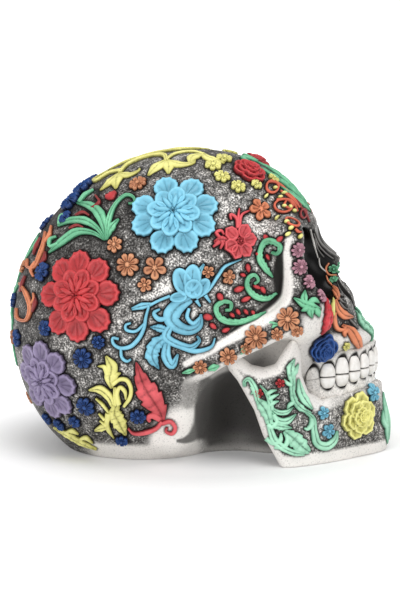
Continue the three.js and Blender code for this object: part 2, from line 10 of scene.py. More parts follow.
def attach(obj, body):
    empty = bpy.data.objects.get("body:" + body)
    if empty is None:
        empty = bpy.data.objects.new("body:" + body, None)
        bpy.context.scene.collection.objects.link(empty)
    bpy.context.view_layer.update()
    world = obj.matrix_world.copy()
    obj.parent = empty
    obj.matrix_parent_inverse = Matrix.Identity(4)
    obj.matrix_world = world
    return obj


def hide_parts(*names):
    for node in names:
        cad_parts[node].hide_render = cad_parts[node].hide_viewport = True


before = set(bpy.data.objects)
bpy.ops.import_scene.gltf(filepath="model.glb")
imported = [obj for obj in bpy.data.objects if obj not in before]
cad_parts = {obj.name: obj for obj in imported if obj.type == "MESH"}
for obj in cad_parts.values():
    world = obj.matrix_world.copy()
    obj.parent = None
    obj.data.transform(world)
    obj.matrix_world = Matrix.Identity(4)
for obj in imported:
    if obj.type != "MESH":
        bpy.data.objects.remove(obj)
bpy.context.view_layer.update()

# Drawn sizes are in millimetres, the scene is in metres.
MM = 0.001

# The viewpoint of the photograph, and its frame in pixels.
AZIMUTH = math.radians(6)
ELEVATION = math.radians(9)
DISTANCE = 800.0
TARGET = np.array([0.0, 0.0, 59.0])
LENS = 120.0
SENSOR = 36.0
FRAME = (400, 600)

# Masses and hollows of the castings, as in the solids. A place is [forward, sideways, up].
OCCIPUT = ((-23.3, 0, 48.5), (51.9, 50, 60))
FOREHEAD = ((1.5, 0, 76.5), (46.5, 45, 42.5))
TEMPLE = ((25, 52, 75), (12, 14, 20))
SKULL_BASE = ((4, 0, 14), (38, 13, 30))
MOUTH_CORE = ((34, 0, 26), (27, 20, 36))
CHEEK_WALL = ((38, 0, 42), (14, 29, 18))
TEMPLE_WALL = ((26, 0, 57), (17, 37, 12))
UPPER_JAW = ((41, 0, 55), (22, 25, 17))
GUM = ((40, 0, 46), (29, 25.5, 8))
CHEEKBONE = ((42, 30, 58), (11, 11, 9))
MASTOID = ((-8, 30, 22), (9.5, 9, 18))
NOSE_HOLE = ((60, 0, 66), (13, 8, 11))
BEHIND_JAW = ((17.5, 46, 11), (16.5, 36, 26))
CHIN = ((62, 0, 8), (13, 13, 16))
BROW = ((39.5, 5, 88), (36.5, 32, 90), 4.6, 1)
EYE_RIM = ((36.5, 35.5, 89), (42.5, 35, 65), 4.6, 1)
CHEEK_RIM = ((43, 32, 64), (53, 12, 64.5), 4.2, 1)
CHEEK_ARCH = ((-4, 42, 37.5), (38, 40, 58), 5.2, 1.6)
NOSE_BONE = ((42.2, 0, 88), (46.6, 0, 79.5), 3.4, 0.7)
NOSE_TIP = ((46.6, 0, 79.5), (53.8, 0, 74.8), 2.8, 0.7)
NOSE_SIDE = ((49.5, 6.5, 77), (55, 11.5, 60), 3.6, 1)
EYE_SOCKET = ((46, 19.5, 80.5), (52.5, 19, 74.5), 11, 0.95)

# The dips above and below the nose bone, which only this model has.
NOSE_SADDLE = ((58, 0, 89), (11.6, 30, 11.6))
NOSE_DIP = ((64.3, 0, 69.5), (9.2, 30, 8.8))

# The jaw: its plan, its outline from the side and its gap to the cranium.
JAW_BEND, JAW_REACH, JAW_HALF_WIDTH, JAW_WALL, JAW_ROUND, JAW_TAPER = 34, 40, 38.5, 10, 5, 1.35
JAW_OUTLINE = [
    (37.5, -5), (80, -5), (78, 12), (74, 29), (50, 24.5), (45, 28), (42.5, 35), (42, 44), (39.5, 51),
    (36, 46), (32.5, 40), (28, 38.5), (23, 39.5), (18.5, 43.5), (10.5, 42.5), (18, 33.5), (24.5, 22),
    (28, 12), (32, 5),
]
JAW_GAP = 0.1

# The dental arch, the bite that slopes down to the back, and the teeth of one row.
ARCH_BEND, ARCH_REACH, ARCH_HALF_WIDTH, ARCH_SWEEP = 38, 33.5, 26, math.radians(69)
BITE_FRONT, BITE_SLOPE = 36, 0.15
TEETH = 12


def ellipsoid(p, mass):
    """About how far places lie outside a mass with three half widths."""
    at, half = (np.array(v, np.float32) for v in mass)
    u = (p - at) / half
    near = np.sqrt((u * u).sum(-1))
    slope = np.sqrt(((u / half) ** 2).sum(-1))
    return near * (near - 1) / np.maximum(slope, 1e-6)


def along_bar(p, rod):
    """Places as seen from the nearest point of a rod's middle line, and how far along it that point is."""
    a, b, _, flat = rod
    stretch = np.array([1, flat, 1], np.float32)
    a, b = np.array(a, np.float32) * stretch, np.array(b, np.float32) * stretch
    t = np.clip((p * stretch - a) @ (b - a) / ((b - a) @ (b - a)), 0, 1)
    return p * stretch - a - t[..., None] * (b - a), t


def bar(p, rod):
    return np.sqrt((along_bar(p, rod)[0] ** 2).sum(-1)) - rod[2]


def join(a, b, soft):
    """Two bodies as one, with a soft fillet."""
    h = np.maximum(soft - np.abs(a - b), 0) / soft
    return np.minimum(a, b) - h * h * soft / 4


def carve(a, b, soft):
    return -join(-a, b, soft)


def ramp(x, low, high):
    """0 below low, 1 above high and smooth between."""
    t = np.clip((x - low) / (high - low), 0, 1)
    return t * t * (3 - 2 * t)


def jaw_side(p):
    """Signed distance to the jaw's outline in the side view."""
    x, z = p[..., 0], p[..., 2]
    nearest = np.full(x.shape, np.inf, np.float32)
    inside = np.zeros(x.shape, bool)
    for (ax, az), (bx, bz) in zip(JAW_OUTLINE, JAW_OUTLINE[1:] + JAW_OUTLINE[:1]):
        length = (bx - ax) ** 2 + (bz - az) ** 2
        t = np.clip(((x - ax) * (bx - ax) + (z - az) * (bz - az)) / length, 0, 1)
        nearest = np.minimum(nearest, np.hypot(x - ax - t * (bx - ax), z - az - t * (bz - az)))
        if az != bz:
            inside ^= ((az > z) != (bz > z)) & (x < ax + (z - az) / (bz - az) * (bx - ax))
    return np.where(inside, -nearest, nearest)


def cranium_field(p):
    d = join(ellipsoid(p, OCCIPUT), ellipsoid(p, FOREHEAD), 20)
    d = carve(d, ellipsoid(p, TEMPLE), 5)
    for mass in (SKULL_BASE, MOUTH_CORE, CHEEK_WALL, TEMPLE_WALL, UPPER_JAW, GUM, CHEEKBONE):
        d = join(d, ellipsoid(p, mass), 6)
    d = join(d, bar(p, NOSE_BONE), 6)
    d = join(d, bar(p, NOSE_TIP), 5)
    d = join(d, bar(p, NOSE_SIDE), 6)
    d = join(d, bar(p, CHEEK_RIM), 6)
    d = carve(d, ellipsoid(p, BEHIND_JAW), 5)
    d = join(d, bar(p, BROW), 6)
    d = join(d, bar(p, EYE_RIM), 9)
    d = join(d, bar(p, CHEEK_ARCH), 5)
    d = join(d, ellipsoid(p, MASTOID), 6)
    d = carve(d, bar(p, EYE_SOCKET), 2.5)
    d = carve(d, ellipsoid(p, NOSE_HOLE), 2.5)
    for hollow in (NOSE_SADDLE, NOSE_DIP):
        d = carve(d, ellipsoid(p, hollow), 1.5)
    return np.maximum(d, -p[..., 2])


def jaw_field(p):
    forward = np.maximum(p[..., 0] - JAW_BEND, 0) / JAW_REACH
    sideways = p[..., 1] / JAW_HALF_WIDTH
    spread = (forward**JAW_TAPER + sideways**JAW_TAPER) ** (1 / JAW_TAPER)
    outer = join((spread - 1) * JAW_HALF_WIDTH, ellipsoid(p, CHIN), 6)
    wall = np.maximum(outer, -outer - JAW_WALL)
    whole = np.maximum(-join(-wall, -jaw_side(p), JAW_ROUND), -p[..., 2])
    return np.maximum(whole, JAW_GAP - cranium_field(p))


# The fields on a lattice over the half with Y above 0: exact near the surface, coarse and safe away from it.
STEP = 0.65
BLOCK = 4
LOW = np.array([-80.0, STEP / 2, -2.6], np.float32)
CELLS = np.array([248, 88, 200])
BAND = 3.2 * BLOCK * STEP
SLACK = 1.2 * BLOCK * STEP

# A ray goes this share of its gap to the castings at a time, and misses if it never comes this near.
RAY_STEPS = 70
RAY_SHARE = 0.9
MISS = 0.2


def lattice(field):
    """A field on the lattice."""

    def points(index):
        return LOW + np.stack(index, -1).astype(np.float32) * STEP

    middles = [np.arange(0, n, BLOCK) + (BLOCK - 1) / 2 for n in CELLS]
    coarse = field(points(np.meshgrid(*middles, indexing="ij")))
    values = coarse.repeat(BLOCK, 0).repeat(BLOCK, 1).repeat(BLOCK, 2)
    band = np.abs(values) < BAND
    values -= np.sign(values) * SLACK
    values[band] = field(points(np.nonzero(band)))
    return values.astype(np.float32)


CRANIUM = lattice(cranium_field)
JAW = lattice(jaw_field)
CASTINGS = np.minimum(CRANIUM, JAW)


def sample(values, p):
    """A lattice read between its points, alike on both sides of the middle plane."""
    q = (np.stack([p[:, 0], np.abs(p[:, 1]), p[:, 2]], -1) - LOW) / STEP
    q = np.clip(q, 0, CELLS - 1.001)
    i = q.astype(int)
    f = q - i
    total = 0
    for a in (0, 1):
        for b in (0, 1):
            for c in (0, 1):
                share = np.abs(1 - a - f[:, 0]) * np.abs(1 - b - f[:, 1]) * np.abs(1 - c - f[:, 2])
                total = total + share * values[i[:, 0] + a, i[:, 1] + b, i[:, 2] + c]
    return total


def outward(p, reach=0.8):
    """Unit normals of the castings, taken over a reach."""
    n = np.stack([sample(CASTINGS, p + reach * e) - sample(CASTINGS, p - reach * e) for e in np.eye(3)], -1)
    return n / np.maximum(np.linalg.norm(n, axis=1, keepdims=True), 1e-6)


def settle(p, turns=6):
    """The points of the castings nearest to places close by."""
    for _ in range(turns):
        p = p - outward(p) * sample(CASTINGS, p)[:, None]
    return p


def meet(start, way, far):
    """Where rays meet the castings; one that hasn't by its far end goes to where it passes nearest."""
    t = np.zeros(len(start))
    nearest, best = np.full(len(start), np.inf), t
    for _ in range(RAY_STEPS):
        gap = sample(CASTINGS, start + way * t[:, None])
        best = np.where(gap < nearest, t, best)
        nearest = np.minimum(gap, nearest)
        t = np.minimum(t + RAY_SHARE * gap, far)
    hit = start + way * best[:, None]
    missed = nearest > MISS
    hit[missed] = settle(hit[missed])
    return hit


def mesh_of(values):
    """The whole surface of a half lattice: points and faces."""
    full = np.ascontiguousarray(np.concatenate([values[:, ::-1], values], 1))
    grid = openvdb.FloatGrid(SLACK)
    grid.copyFromArray(full)
    points, quads = grid.convertToQuads(0.0)
    points = points * STEP + LOW - np.array([0, CELLS[1] * STEP, 0])
    return points, quads[:, ::-1]


# Pieces
def piece(name, points, faces, material, slot, node=None, **paint):
    """A mesh in the scene, with its paint as values at the points. It stands for a node if one is given."""
    mesh = bpy.data.meshes.new(name)
    mesh.from_pydata((points * MM).tolist(), [], faces)
    for key, values in paint.items():
        layer = mesh.attributes.new(key, "FLOAT", "POINT")
        layer.data.foreach_set("value", np.asarray(values, np.float32))
    mesh.shade_smooth()
    mesh.materials.append(material)
    made = bpy.data.objects.new(name, mesh)
    bpy.context.scene.collection.objects.link(made)
    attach(made, "root")
    if node:
        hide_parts(node)


# Drawing boards. The photograph's board lays a pixel on the castings along the line of sight; a sheet lays
# millimetres square onto them round a place.
LEVEL = np.array([math.sin(AZIMUTH), -math.cos(AZIMUTH), 0])
BACK = LEVEL * math.cos(ELEVATION) + np.array([0, 0, math.sin(ELEVATION)])
RIGHT = np.array([math.cos(AZIMUTH), math.sin(AZIMUTH), 0])
UP = np.cross(BACK, RIGHT)
EYE = TARGET + BACK * DISTANCE
PIXELS_PER_SLOPE = LENS / SENSOR * FRAME[1]

# Rays start this far before the middle of the head, and those for the jaw end this far from the middle plane.
RAY_START = 110
JAW_INSIDE = 30


def board(flat, inner=0):
    """Pixels laid on the near side of the castings."""
    u = (flat[:, 0] - FRAME[0] / 2) / PIXELS_PER_SLOPE
    v = (FRAME[1] / 2 - flat[:, 1]) / PIXELS_PER_SLOPE
    way = u[:, None] * RIGHT + v[:, None] * UP - BACK
    way /= np.linalg.norm(way, axis=1, keepdims=True)
    start = EYE + way * (DISTANCE - RAY_START)
    return meet(start, way, -(start[:, 1] + inner) / way[:, 1])


def jaw_board(flat):
    """The board for the side of the jaw, where a ray that passes the rim stays at the rim."""
    return board(flat, JAW_INSIDE)


def seen(p):
    """The pixels at which places on the castings show."""
    d = p - EYE
    depth = -(d @ BACK) / PIXELS_PER_SLOPE
    return np.stack([FRAME[0] / 2 + d @ RIGHT / depth, FRAME[1] / 2 - d @ UP / depth], -1)


def sheet(place, turn=0.0, reach=9.0, drop=10.0):
    """A sheet at a pixel, or square to the castings at the point nearest a place in space."""
    if len(place) == 2:
        at = board(np.array([place], float))
    else:
        at = settle(np.array([place], float), 12)
    out = outward(at, 4.0)[0]
    forward = np.array([1.0, 0, 0]) if abs(out[0]) < 0.9 else np.array([0, 0, -1.0])
    along = forward - out * (out @ forward)
    along /= np.linalg.norm(along)
    up = np.cross(out, along)
    c, s = math.cos(math.radians(turn)), math.sin(math.radians(turn))
    along, up = c * along + s * up, c * up - s * along

    def lay(flat):
        start = at + flat[:, :1] * along + flat[:, 1:] * up + out * reach
        return meet(start, np.broadcast_to(-out, start.shape), reach + drop)

    return lay


# Relief. A patch is points drawn flat, their heights, their wash and painted shade (1 in a dark line) and their
# faces.
# Its edge is sunk into the casting, and ACROSS gives the points of a strip's section as shares of its half width.
SUNK = -0.7
ACROSS = np.array([-1, -1, -0.9, -0.7, -0.45, -0.2, 0, 0.2, 0.45, 0.7, 0.9, 1, 1])


def spline(route, spacing):
    """Even points on a smooth curve through a route, their directions and their shares of the length."""
    route = np.array(route, float)
    ends = np.vstack([2 * route[0] - route[1], route, 2 * route[-1] - route[-2]])
    t = np.linspace(0, 1, 12, endpoint=False)[:, None]
    parts = []
    for a, b, c, d in zip(ends, ends[1:], ends[2:], ends[3:]):
        square, cube = 2 * a - 5 * b + 4 * c - d, 3 * b - a - 3 * c + d
        parts.append(0.5 * (2 * b + (c - a) * t + square * t**2 + cube * t**3))
    fine = np.vstack([*parts, route[-1:]])
    far = np.concatenate([[0], np.cumsum(np.linalg.norm(np.diff(fine, axis=0), axis=1))])
    count = max(6, int(far[-1] / spacing))
    even = np.linspace(0, far[-1], count + 1)
    points = np.stack([np.interp(even, far, fine[:, k]) for k in (0, 1)], -1)
    way = np.gradient(points, axis=0)
    return points, way / np.linalg.norm(way, axis=1, keepdims=True), even / far[-1]


def band_faces(rows, columns):
    """A closed strip: its sections joined in rings, with an end at each end."""
    i, j = np.meshgrid(np.arange(rows - 1), np.arange(columns), indexing="ij")
    a, b = (i * columns + j).ravel(), (i * columns + (j + 1) % columns).ravel()
    faces = np.stack([a, a + columns, b + columns, b], -1).tolist()
    last = (rows - 1) * columns
    return faces + [list(range(columns)), [last + j for j in range(columns)][::-1]]


def ribbon(route, widths, height=1.3, groove=0.0, teeth=0, depth=0.25, sides=(1, 1), spacing=1.2):
    """A strip along a route: domed, or grooved down the middle, with toothed edges if it has teeth."""
    middle, way, share = spline(route, spacing)
    width = np.interp(share, np.linspace(0, 1, len(widths)), widths)
    saw = 1 - ((share * teeth) % 1.0) if teeth else np.zeros(len(share))
    side = np.stack([-way[:, 1], way[:, 0]], -1)
    half = [width / 2 * (1 - depth * saw * k) for k in sides]
    reach = np.where(ACROSS[None] < 0, half[0][:, None], half[1][:, None]) * ACROSS[None]
    flat = middle[:, None] + side[:, None] * reach[..., None]
    full = np.minimum(1, (width / max(widths)) ** 0.6)[:, None] * height
    dome = 0.45 + 0.55 * np.sqrt(np.maximum(1 - ACROSS**2, 0))
    cut = np.exp(-((ACROSS / 0.2) ** 2)) * groove
    rise = full * (dome - 0.4 * cut)[None]
    rise[:, [0, -1]] = SUNK
    # Dark in the groove and at the edges: wash, and painted shade where the strip meets the casting.
    wash = np.broadcast_to(0.9 * cut + 0.5 * (np.abs(ACROSS) > 0.95), rise.shape).copy()
    wash[:, [0, -1]] = 1
    if teeth:
        veins = np.exp(-((((share * teeth) % 1.0 - 0.5) / 0.16) ** 2))[:, None] * (np.abs(ACROSS) < 0.8)[None]
        wash = np.maximum(wash, 0.6 * groove * veins)
        rise -= 0.15 * height * groove * veins * (rise > 0)
    return flat.reshape(-1, 2), rise.ravel(), wash.ravel(), band_faces(*rise.shape)


def disc(place, radius, rise, wash, spokes=40, rings=6):
    """A patch round a point: its edge by angle, its height and its wash and painted shade by angle and share of
    the way out.
    """
    angle = np.linspace(0, 2 * np.pi, spokes, endpoint=False)
    share = np.concatenate([[0.02], np.linspace(1 / rings, 1, rings), [1]])
    s, a = np.meshgrid(share, angle, indexing="ij")
    r = radius(a) * s
    flat = place(np.stack([r * np.cos(a), r * np.sin(a)], -1).reshape(-1, 2))
    height = rise(a, s)
    height[-1] = SUNK
    shade = np.clip(wash(a, s), 0, 1)
    shade[-1] = 1
    return flat, height.ravel(), shade.ravel(), band_faces(*height.shape)


def placed(centre, turn=0.0, stretch=(1, 1)):
    """A way to stretch, turn and move drawn points."""
    c, s = math.cos(math.radians(turn)), math.sin(math.radians(turn))

    def place(p):
        p = p * np.array(stretch)
        return np.stack([centre[0] + c * p[:, 0] - s * p[:, 1], centre[1] + s * p[:, 0] + c * p[:, 1]], -1)

    return place


def flower(centre, radius, petals, turn=0.0, height=1.2, gap=0.4):
    """A small flower: domed petals with a dark line between them and a raised eye."""

    def swing(a):
        return np.abs(np.sin(petals * a / 2))

    def edge(a):
        return radius * (1 - gap + gap * swing(a) ** 0.7)

    def rise(a, s):
        sides = np.exp(-(((swing(a) - 0.6) / 0.3) ** 2))
        tip = swing(a) * np.exp(-(((s - 0.82) / 0.16) ** 2))
        return np.where(s < 0.22, height * 1.25, height * (0.4 + 0.65 * np.maximum(sides, tip)))

    # Painted shade and wash between the petals and in the veins, and a dark ring round the eye.
    def wash(a, s):
        between = np.exp(-((swing(a) / 0.38) ** 2)) * (s > 0.15)
        vein = np.exp(-(((1 - swing(a)) / 0.06) ** 2)) * (s > 0.25) * (s < 0.75) * 0.8
        eye = np.exp(-(((s - 0.28) / 0.08) ** 2))
        return np.maximum(np.maximum(between, vein), eye)

    return disc(placed(centre, turn), edge, rise, wash, spokes=petals * 10, rings=7)


def petal(centre, turn, far, length, width, low, high, lobes, fans, ink=0.5):
    """A petal of a big flower: scalloped if it has lobes, with a raised rim and lines from its root."""

    def edge(a):
        out = np.maximum(np.cos(a), 0) ** 0.4
        return 1.04 - 0.14 * out * np.abs(np.sin(a * lobes / 2)) - 0.12 * np.maximum(-np.cos(a), 0)

    def lines(a, s, thin):
        x, y = s * np.cos(a) + 1, s * np.sin(a)
        fan = np.exp(-((np.sin(fans * np.arctan2(y, x)) / thin) ** 2))
        return fan * ramp(np.hypot(x, y), 0.3, 0.5) * (1 - ramp(s, 0.55, 0.8))

    def rise(a, s):
        rim = np.exp(-(((s - 0.84) / 0.17) ** 2))
        return low + (high - low) * (0.55 + 0.42 * rim - 0.22 * lines(a, s, 0.4) + 0.1 * np.cos(a) * s)

    # Dark lines from the root and a dark edge: wash and painted shade.
    def wash(a, s):
        return ink * lines(a, s, 0.3) + 0.75 * (s > 0.97)

    c, s = math.cos(math.radians(turn)), math.sin(math.radians(turn))
    middle = (centre[0] + far * c, centre[1] + far * s)
    return disc(placed(middle, turn, (length, width)), edge, rise, wash, spokes=60, rings=10)


def drop(centre, turn, length, width, height=1.0):
    """A droplet or seed."""

    def edge(a):
        return 1 - 0.25 * np.maximum(np.cos(a), 0) * np.abs(np.sin(a))

    def rise(a, s):
        return height * (0.35 + 0.65 * np.sqrt(np.maximum(1 - s**2, 0)))

    # A dark edge: wash and painted shade.
    def wash(a, s):
        return 0.6 * (s > 0.97) + 0 * a

    return disc(placed(centre, turn, (length / 2, width / 2)), edge, rise, wash, spokes=14, rings=3)


def peony(radius, turns):
    """Three tiers: scalloped outer petals, round inner ones and a star of drops in the middle."""
    parts = [petal((0, 0), t, 0.73 * radius, 0.28 * radius, 0.275 * radius, 0.2, 1.7, 10, 8) for t in turns]
    count = len(turns)
    for k in range(count):
        t = turns[0] + 22 + 360 * k / count
        high = 2.5 + 0.4 * (k % 2)
        parts.append(petal((0, 0), t, 0.36 * radius, 0.24 * radius, 0.195 * radius, 0.9, high, 0, 7, 0.3))
        parts.append(drop_petal(t, 0.24 * radius, 0.2 * radius, 0.06 * radius))
    parts.append(flower((0, 0), 0.075 * radius, 5, 0, 3.6))
    return parts


def drop_petal(turn, far, length, width):
    """A drop that lies on an inner petal and points away from the middle."""
    flat, height, wash, faces = drop((far, 0), 0, 2 * length, 2 * width, 1.4)
    c, s = math.cos(math.radians(turn)), math.sin(math.radians(turn))
    flat = flat @ np.array([[c, s], [-s, c]])
    return flat, np.where(height > 0, height + 1.9, height), wash, faces


# A rose's rings: petals, how far out and how large as shares of the radius, their foot and their rim.
ROSE_RINGS = [
    (6, 0.66, 0.4, 0.2, 1.7), (5, 0.42, 0.38, 1.0, 2.7), (4, 0.2, 0.3, 2.0, 3.4), (3, 0.07, 0.17, 2.8, 4.0),
]
RING_TURN = 40


def rose(radius, turn=0.0, lobes=0):
    """Cupped petals in rings that climb to a bud."""
    parts = []
    for ring, (count, far, size, low, high) in enumerate(ROSE_RINGS):
        for k in range(count):
            t = turn + RING_TURN * ring + 360 * k / count
            length, rim = size * radius, high + 0.2 * (k % 2)
            parts.append(petal((0, 0), t, far * radius, length, 1.12 * length, low, rim, lobes, 3))
    return parts


class Relief:
    """The patches of one moulding, laid on the castings."""

    def __init__(self):
        self.points, self.faces, self.wash, self.light, self.count = [], [], [], [], 0

    def add(self, lay, *patches):
        for flat, height, wash, faces in patches:
            foot = lay(flat)
            self.points.append(foot + outward(foot, 1.6) * height[:, None])
            self.wash.append(wash)
            # How high each point stands: the paint makes the highest ones paler, as dry-brushing and painted
            # highlight.
            self.light.append(np.clip(height / max(height.max(), 1e-6), 0, 1))
            way = -1 if lay in (board, jaw_board) else 1
            self.faces += [[v + self.count for v in face[::way]] for face in faces]
            self.count += len(flat)
        return self


# Finishes
class Value:
    """A shader socket that takes part in sums."""

    def __init__(self, finish, socket):
        self.finish, self.socket = finish, socket

    def sum(self, operation, a, b):
        return self.finish.node("ShaderNodeMath", {"operation": operation}, [a, b])

    def __add__(self, other):
        return self.sum("ADD", self, other)

    __radd__ = __add__

    def __sub__(self, other):
        return self.sum("SUBTRACT", self, other)

    def __rsub__(self, other):
        return self.sum("SUBTRACT", other, self)

    def __mul__(self, other):
        return self.sum("MULTIPLY", self, other)

    __rmul__ = __mul__

    def __rpow__(self, other):
        return self.sum("POWER", other, self)


class Finish:
    """The nodes of one material."""

    def __init__(self, name):
        self.material = bpy.data.materials.new(name)
        self.material.use_nodes = True
        self.tree = self.material.node_tree
        self.shader = self.tree.nodes["Principled BSDF"]

    def node(self, kind, settings, sockets, out=0):
        made = self.tree.nodes.new(kind)
        for key, value in settings.items():
            setattr(made, key, value)
        for key, value in enumerate(sockets) if isinstance(sockets, list) else sockets.items():
            self.feed(made.inputs[key], value)
        return Value(self, made.outputs[out])

    def feed(self, socket, value):
        if isinstance(value, Value):
            self.tree.links.new(value.socket, socket)
        else:
            socket.default_value = value

    def layer(self, name):
        return self.node("ShaderNodeAttribute", {"attribute_name": name}, {}, "Fac")

    def noise(self, scale, detail):
        place = self.node("ShaderNodeTexCoord", {}, {}, "Object")
        return self.node("ShaderNodeTexNoise", {}, {"Vector": place, "Scale": scale, "Detail": detail})

    def held(self, value):
        return self.node("ShaderNodeClamp", {}, {"Value": value})

    def mix(self, factor, a, b):
        return self.node("ShaderNodeMix", {"data_type": "RGBA"}, {0: factor, 6: a, 7: b}, 2)

    def finish(self, colour, roughness, height, bump):
        self.feed(self.shader.inputs["Base Color"], colour)
        self.feed(self.shader.inputs["Roughness"], roughness)
        normal = self.node("ShaderNodeBump", {}, {"Strength": bump, "Distance": 0.0005, "Height": height})
        self.feed(self.shader.inputs["Normal"], normal)
        return self.material


def linear(colour):
    """A written colour (0 to 255) as linear light."""
    parts = [c / 255 for c in colour]
    return (*(p / 12.92 if p < 0.04 else ((p + 0.055) / 1.055) ** 2.4 for p in parts), 1.0)


# The dark of the wash, which also paints the shade in grooves, in gaps and at the feet of mouldings.
WASH_AND_SHADE = linear((20, 17, 16))
UMBER = linear((18, 16, 15))
INK = linear((5, 5, 5))
BONE = linear((255, 251, 246))

# How strongly the fine grain, the patches, the clouds and the brush sway the speckle.
GRAIN_SWAY, PATCH_SWAY, CLOUD_SWAY, BRUSH_SWAY = 8.5, 3.6, 3.4, 1.5


def antiqued(name, level):
    """White casting under a dark wash that also paints shade round the mouldings and the crowns: speckled where
    it is rough, plain where it is smooth.
    """
    f = Finish(name)
    rough, tone, wash, black_gloss_and_shade, brush = (f.layer(key) for key in ("rough", "tone", "wash", "black_gloss_and_shade", "brush"))
    grain, patch, cloud = f.noise(1500, 3), f.noise(300, 3), f.noise(58, 2)
    sway = (grain - 0.5) * GRAIN_SWAY + (patch - 0.5) * PATCH_SWAY + (cloud - 0.5) * CLOUD_SWAY
    speckle = math.e ** (sway + brush * BRUSH_SWAY + level)
    pits = f.held((grain - 0.33) * 9)
    plain = tone * tone * (0.75 + 0.25 * pits)
    light = f.held(rough * speckle + (1 - rough) * plain)
    colour = f.mix(light, UMBER, BONE)
    # Wash and painted shade round the mouldings and the crowns.
    colour = f.mix(f.held(wash * (0.7 + patch * 0.7)), colour, WASH_AND_SHADE)
    # Black and glossier in the eye socket, which is black paint and painted shade, and on the dark nose ridge.
    colour = f.mix(black_gloss_and_shade, colour, INK)
    f.shader.inputs["Specular IOR Level"].default_value = 0.14
    return f.finish(colour, 0.5 - 0.25 * black_gloss_and_shade, grain * rough, 0.6)


def painted(name, colour, pale):
    """Brushed paint: paler on the ridges, which is dry-brushing and painted highlight, and dark wash and painted
    shade in the lines.
    """
    f = Finish(name)
    wash, ridge = f.layer("wash"), f.layer("light")
    grain, cloud = f.noise(900, 3), f.noise(170, 2)
    low, high = linear([0.72 * c for c in colour]), linear(pale)
    # Painted highlight and dry-brushing on the ridges, darker low down.
    body = f.mix(f.held(ridge * 1.15 - 0.2 + (cloud - 0.5) * 1.1), low, high)
    shade = f.held(wash * (0.62 + cloud * 0.5) + (0.3 - grain) * 1.5)
    f.shader.inputs["Specular IOR Level"].default_value = 0.35
    return f.finish(f.mix(shade, body, WASH_AND_SHADE), 0.36 + wash * 0.3, grain, 0.12)


# Paints: the material slot, the colour low down and the colour on the ridges, which is dry-brushed paint and
# painted highlight.
PAINTS = {
    "sky": ("sky_paint", (104, 190, 222), (141, 214, 239)),
    "scarlet": ("scarlet_paint", (186, 48, 54), (212, 70, 74)),
    "coral": ("scarlet_paint", (214, 62, 70), (242, 106, 112)),
    "lilac": ("lilac_paint", (128, 112, 152), (164, 150, 186)),
    "lemon": ("lemon_paint", (236, 229, 108), (255, 250, 158)),
    "emerald": ("emerald_paint", (88, 190, 138), (134, 214, 168)),
    "mint": ("mint_paint", (126, 212, 170), (186, 244, 212)),
    "navy": ("navy_paint", (12, 26, 78), (46, 88, 158)),
    "orange": ("orange_paint", (214, 116, 74), (243, 152, 110)),
    "amber": ("amber_paint", (190, 104, 64), (234, 168, 126)),
    "mauve": ("mauve_paint", (176, 112, 132), (218, 164, 180)),
    "crimson": ("scarlet_paint", (120, 34, 38), (160, 58, 58)),
    "ember": ("scarlet_paint", (196, 78, 58), (228, 112, 84)),
    "cherry": ("scarlet_paint", (206, 38, 50), (232, 72, 80)),
    "rosy": ("scarlet_paint", (198, 48, 56), (230, 96, 102)),
    # Pale paint for the strips laid on the nose's edges as painted highlights.
    "pale_highlight": ("antiqued_ground", (150, 146, 142), (228, 225, 220)),
    "ash": ("antiqued_ground", (70, 68, 66), (136, 133, 130)),
}
PAINT = {name: painted(name, colour, pale) for name, (_, colour, pale) in PAINTS.items()}

# The feet of the mouldings laid so far, for the wash and painted shade round them on the castings.
feet = []


def ornament(name, colour, relief, node=True, both=True):
    """A moulding on the right, and its mirror on the left, or one moulding on the middle plane."""
    points = np.vstack(relief.points)
    paint = {"wash": np.concatenate(relief.wash), "light": np.concatenate(relief.light)}
    feet.append(points[paint["wash"] > 0.97])
    flipped = points * np.array([1, -1, 1])
    turned = [face[::-1] for face in relief.faces]
    slot = PAINTS[colour][0]
    if both:
        for side, place, faces in (("right_", points, relief.faces), ("left_", flipped, turned)):
            piece(side + name + "_relief", place, faces, PAINT[colour], slot, node and side + name, **paint)
        return
    turned = [[v + len(points) for v in face] for face in turned]
    paint = {key: np.tile(values, 2) for key, values in paint.items()}
    points, faces = np.vstack([points, flipped]), relief.faces + turned
    piece(name + "_relief", points, faces, PAINT[colour], slot, node and name, **paint)


def strips(*items):
    """Ribbons: a route, the widths along it and, where they differ from the plain ones, settings."""
    return [ribbon(route, widths, **(rest[0] if rest else {})) for route, widths, *rest in items]


def flowers(*items):
    """Small flowers, each on its own sheet: pixel or place, radius, petals, turn and settings."""
    relief = Relief()
    for place, radius, petals, turn, *rest in items:
        relief.add(sheet(place, turn), flower((0, 0), radius, petals, **(rest[0] if rest else {})))
    return relief


LEAF = dict(teeth=6, groove=1.0)
VEIN = dict(groove=1.0)
BARBED = dict(teeth=13, depth=0.4, sides=(0, 1), groove=0.5)
BROAD = dict(groove=0.7, height=0.9)
LOW_RELIEF = dict(height=0.8)
FINE = dict(height=0.8, spacing=0.4)
FINE_VEIN = dict(groove=1.0, spacing=0.4)
STAR = dict(gap=0.55)
BUSH = dict(height=1.5)
TALL = dict(height=2.4)

# Peonies: the colour, the pixel of the middle, the radius and the turns of the outer petals.
PEONIES = {
    "blue_peony": ("sky", (174, 213), 16.6, (16, 61, 109, 165, 203, 252, 295, 337)),
    "red_peony": ("scarlet", (78, 296), 17.2, (90, 128, 48, 4, 176, 230, 314, 270)),
    "lilac_peony": ("lilac", (45, 380), 15.8, (97, 55, 8, 320, 285, 142, 185, 235)),
}
for name, (colour, middle, radius, turns) in PEONIES.items():
    ornament(name, colour, Relief().add(sheet(middle), *peony(radius, turns)))

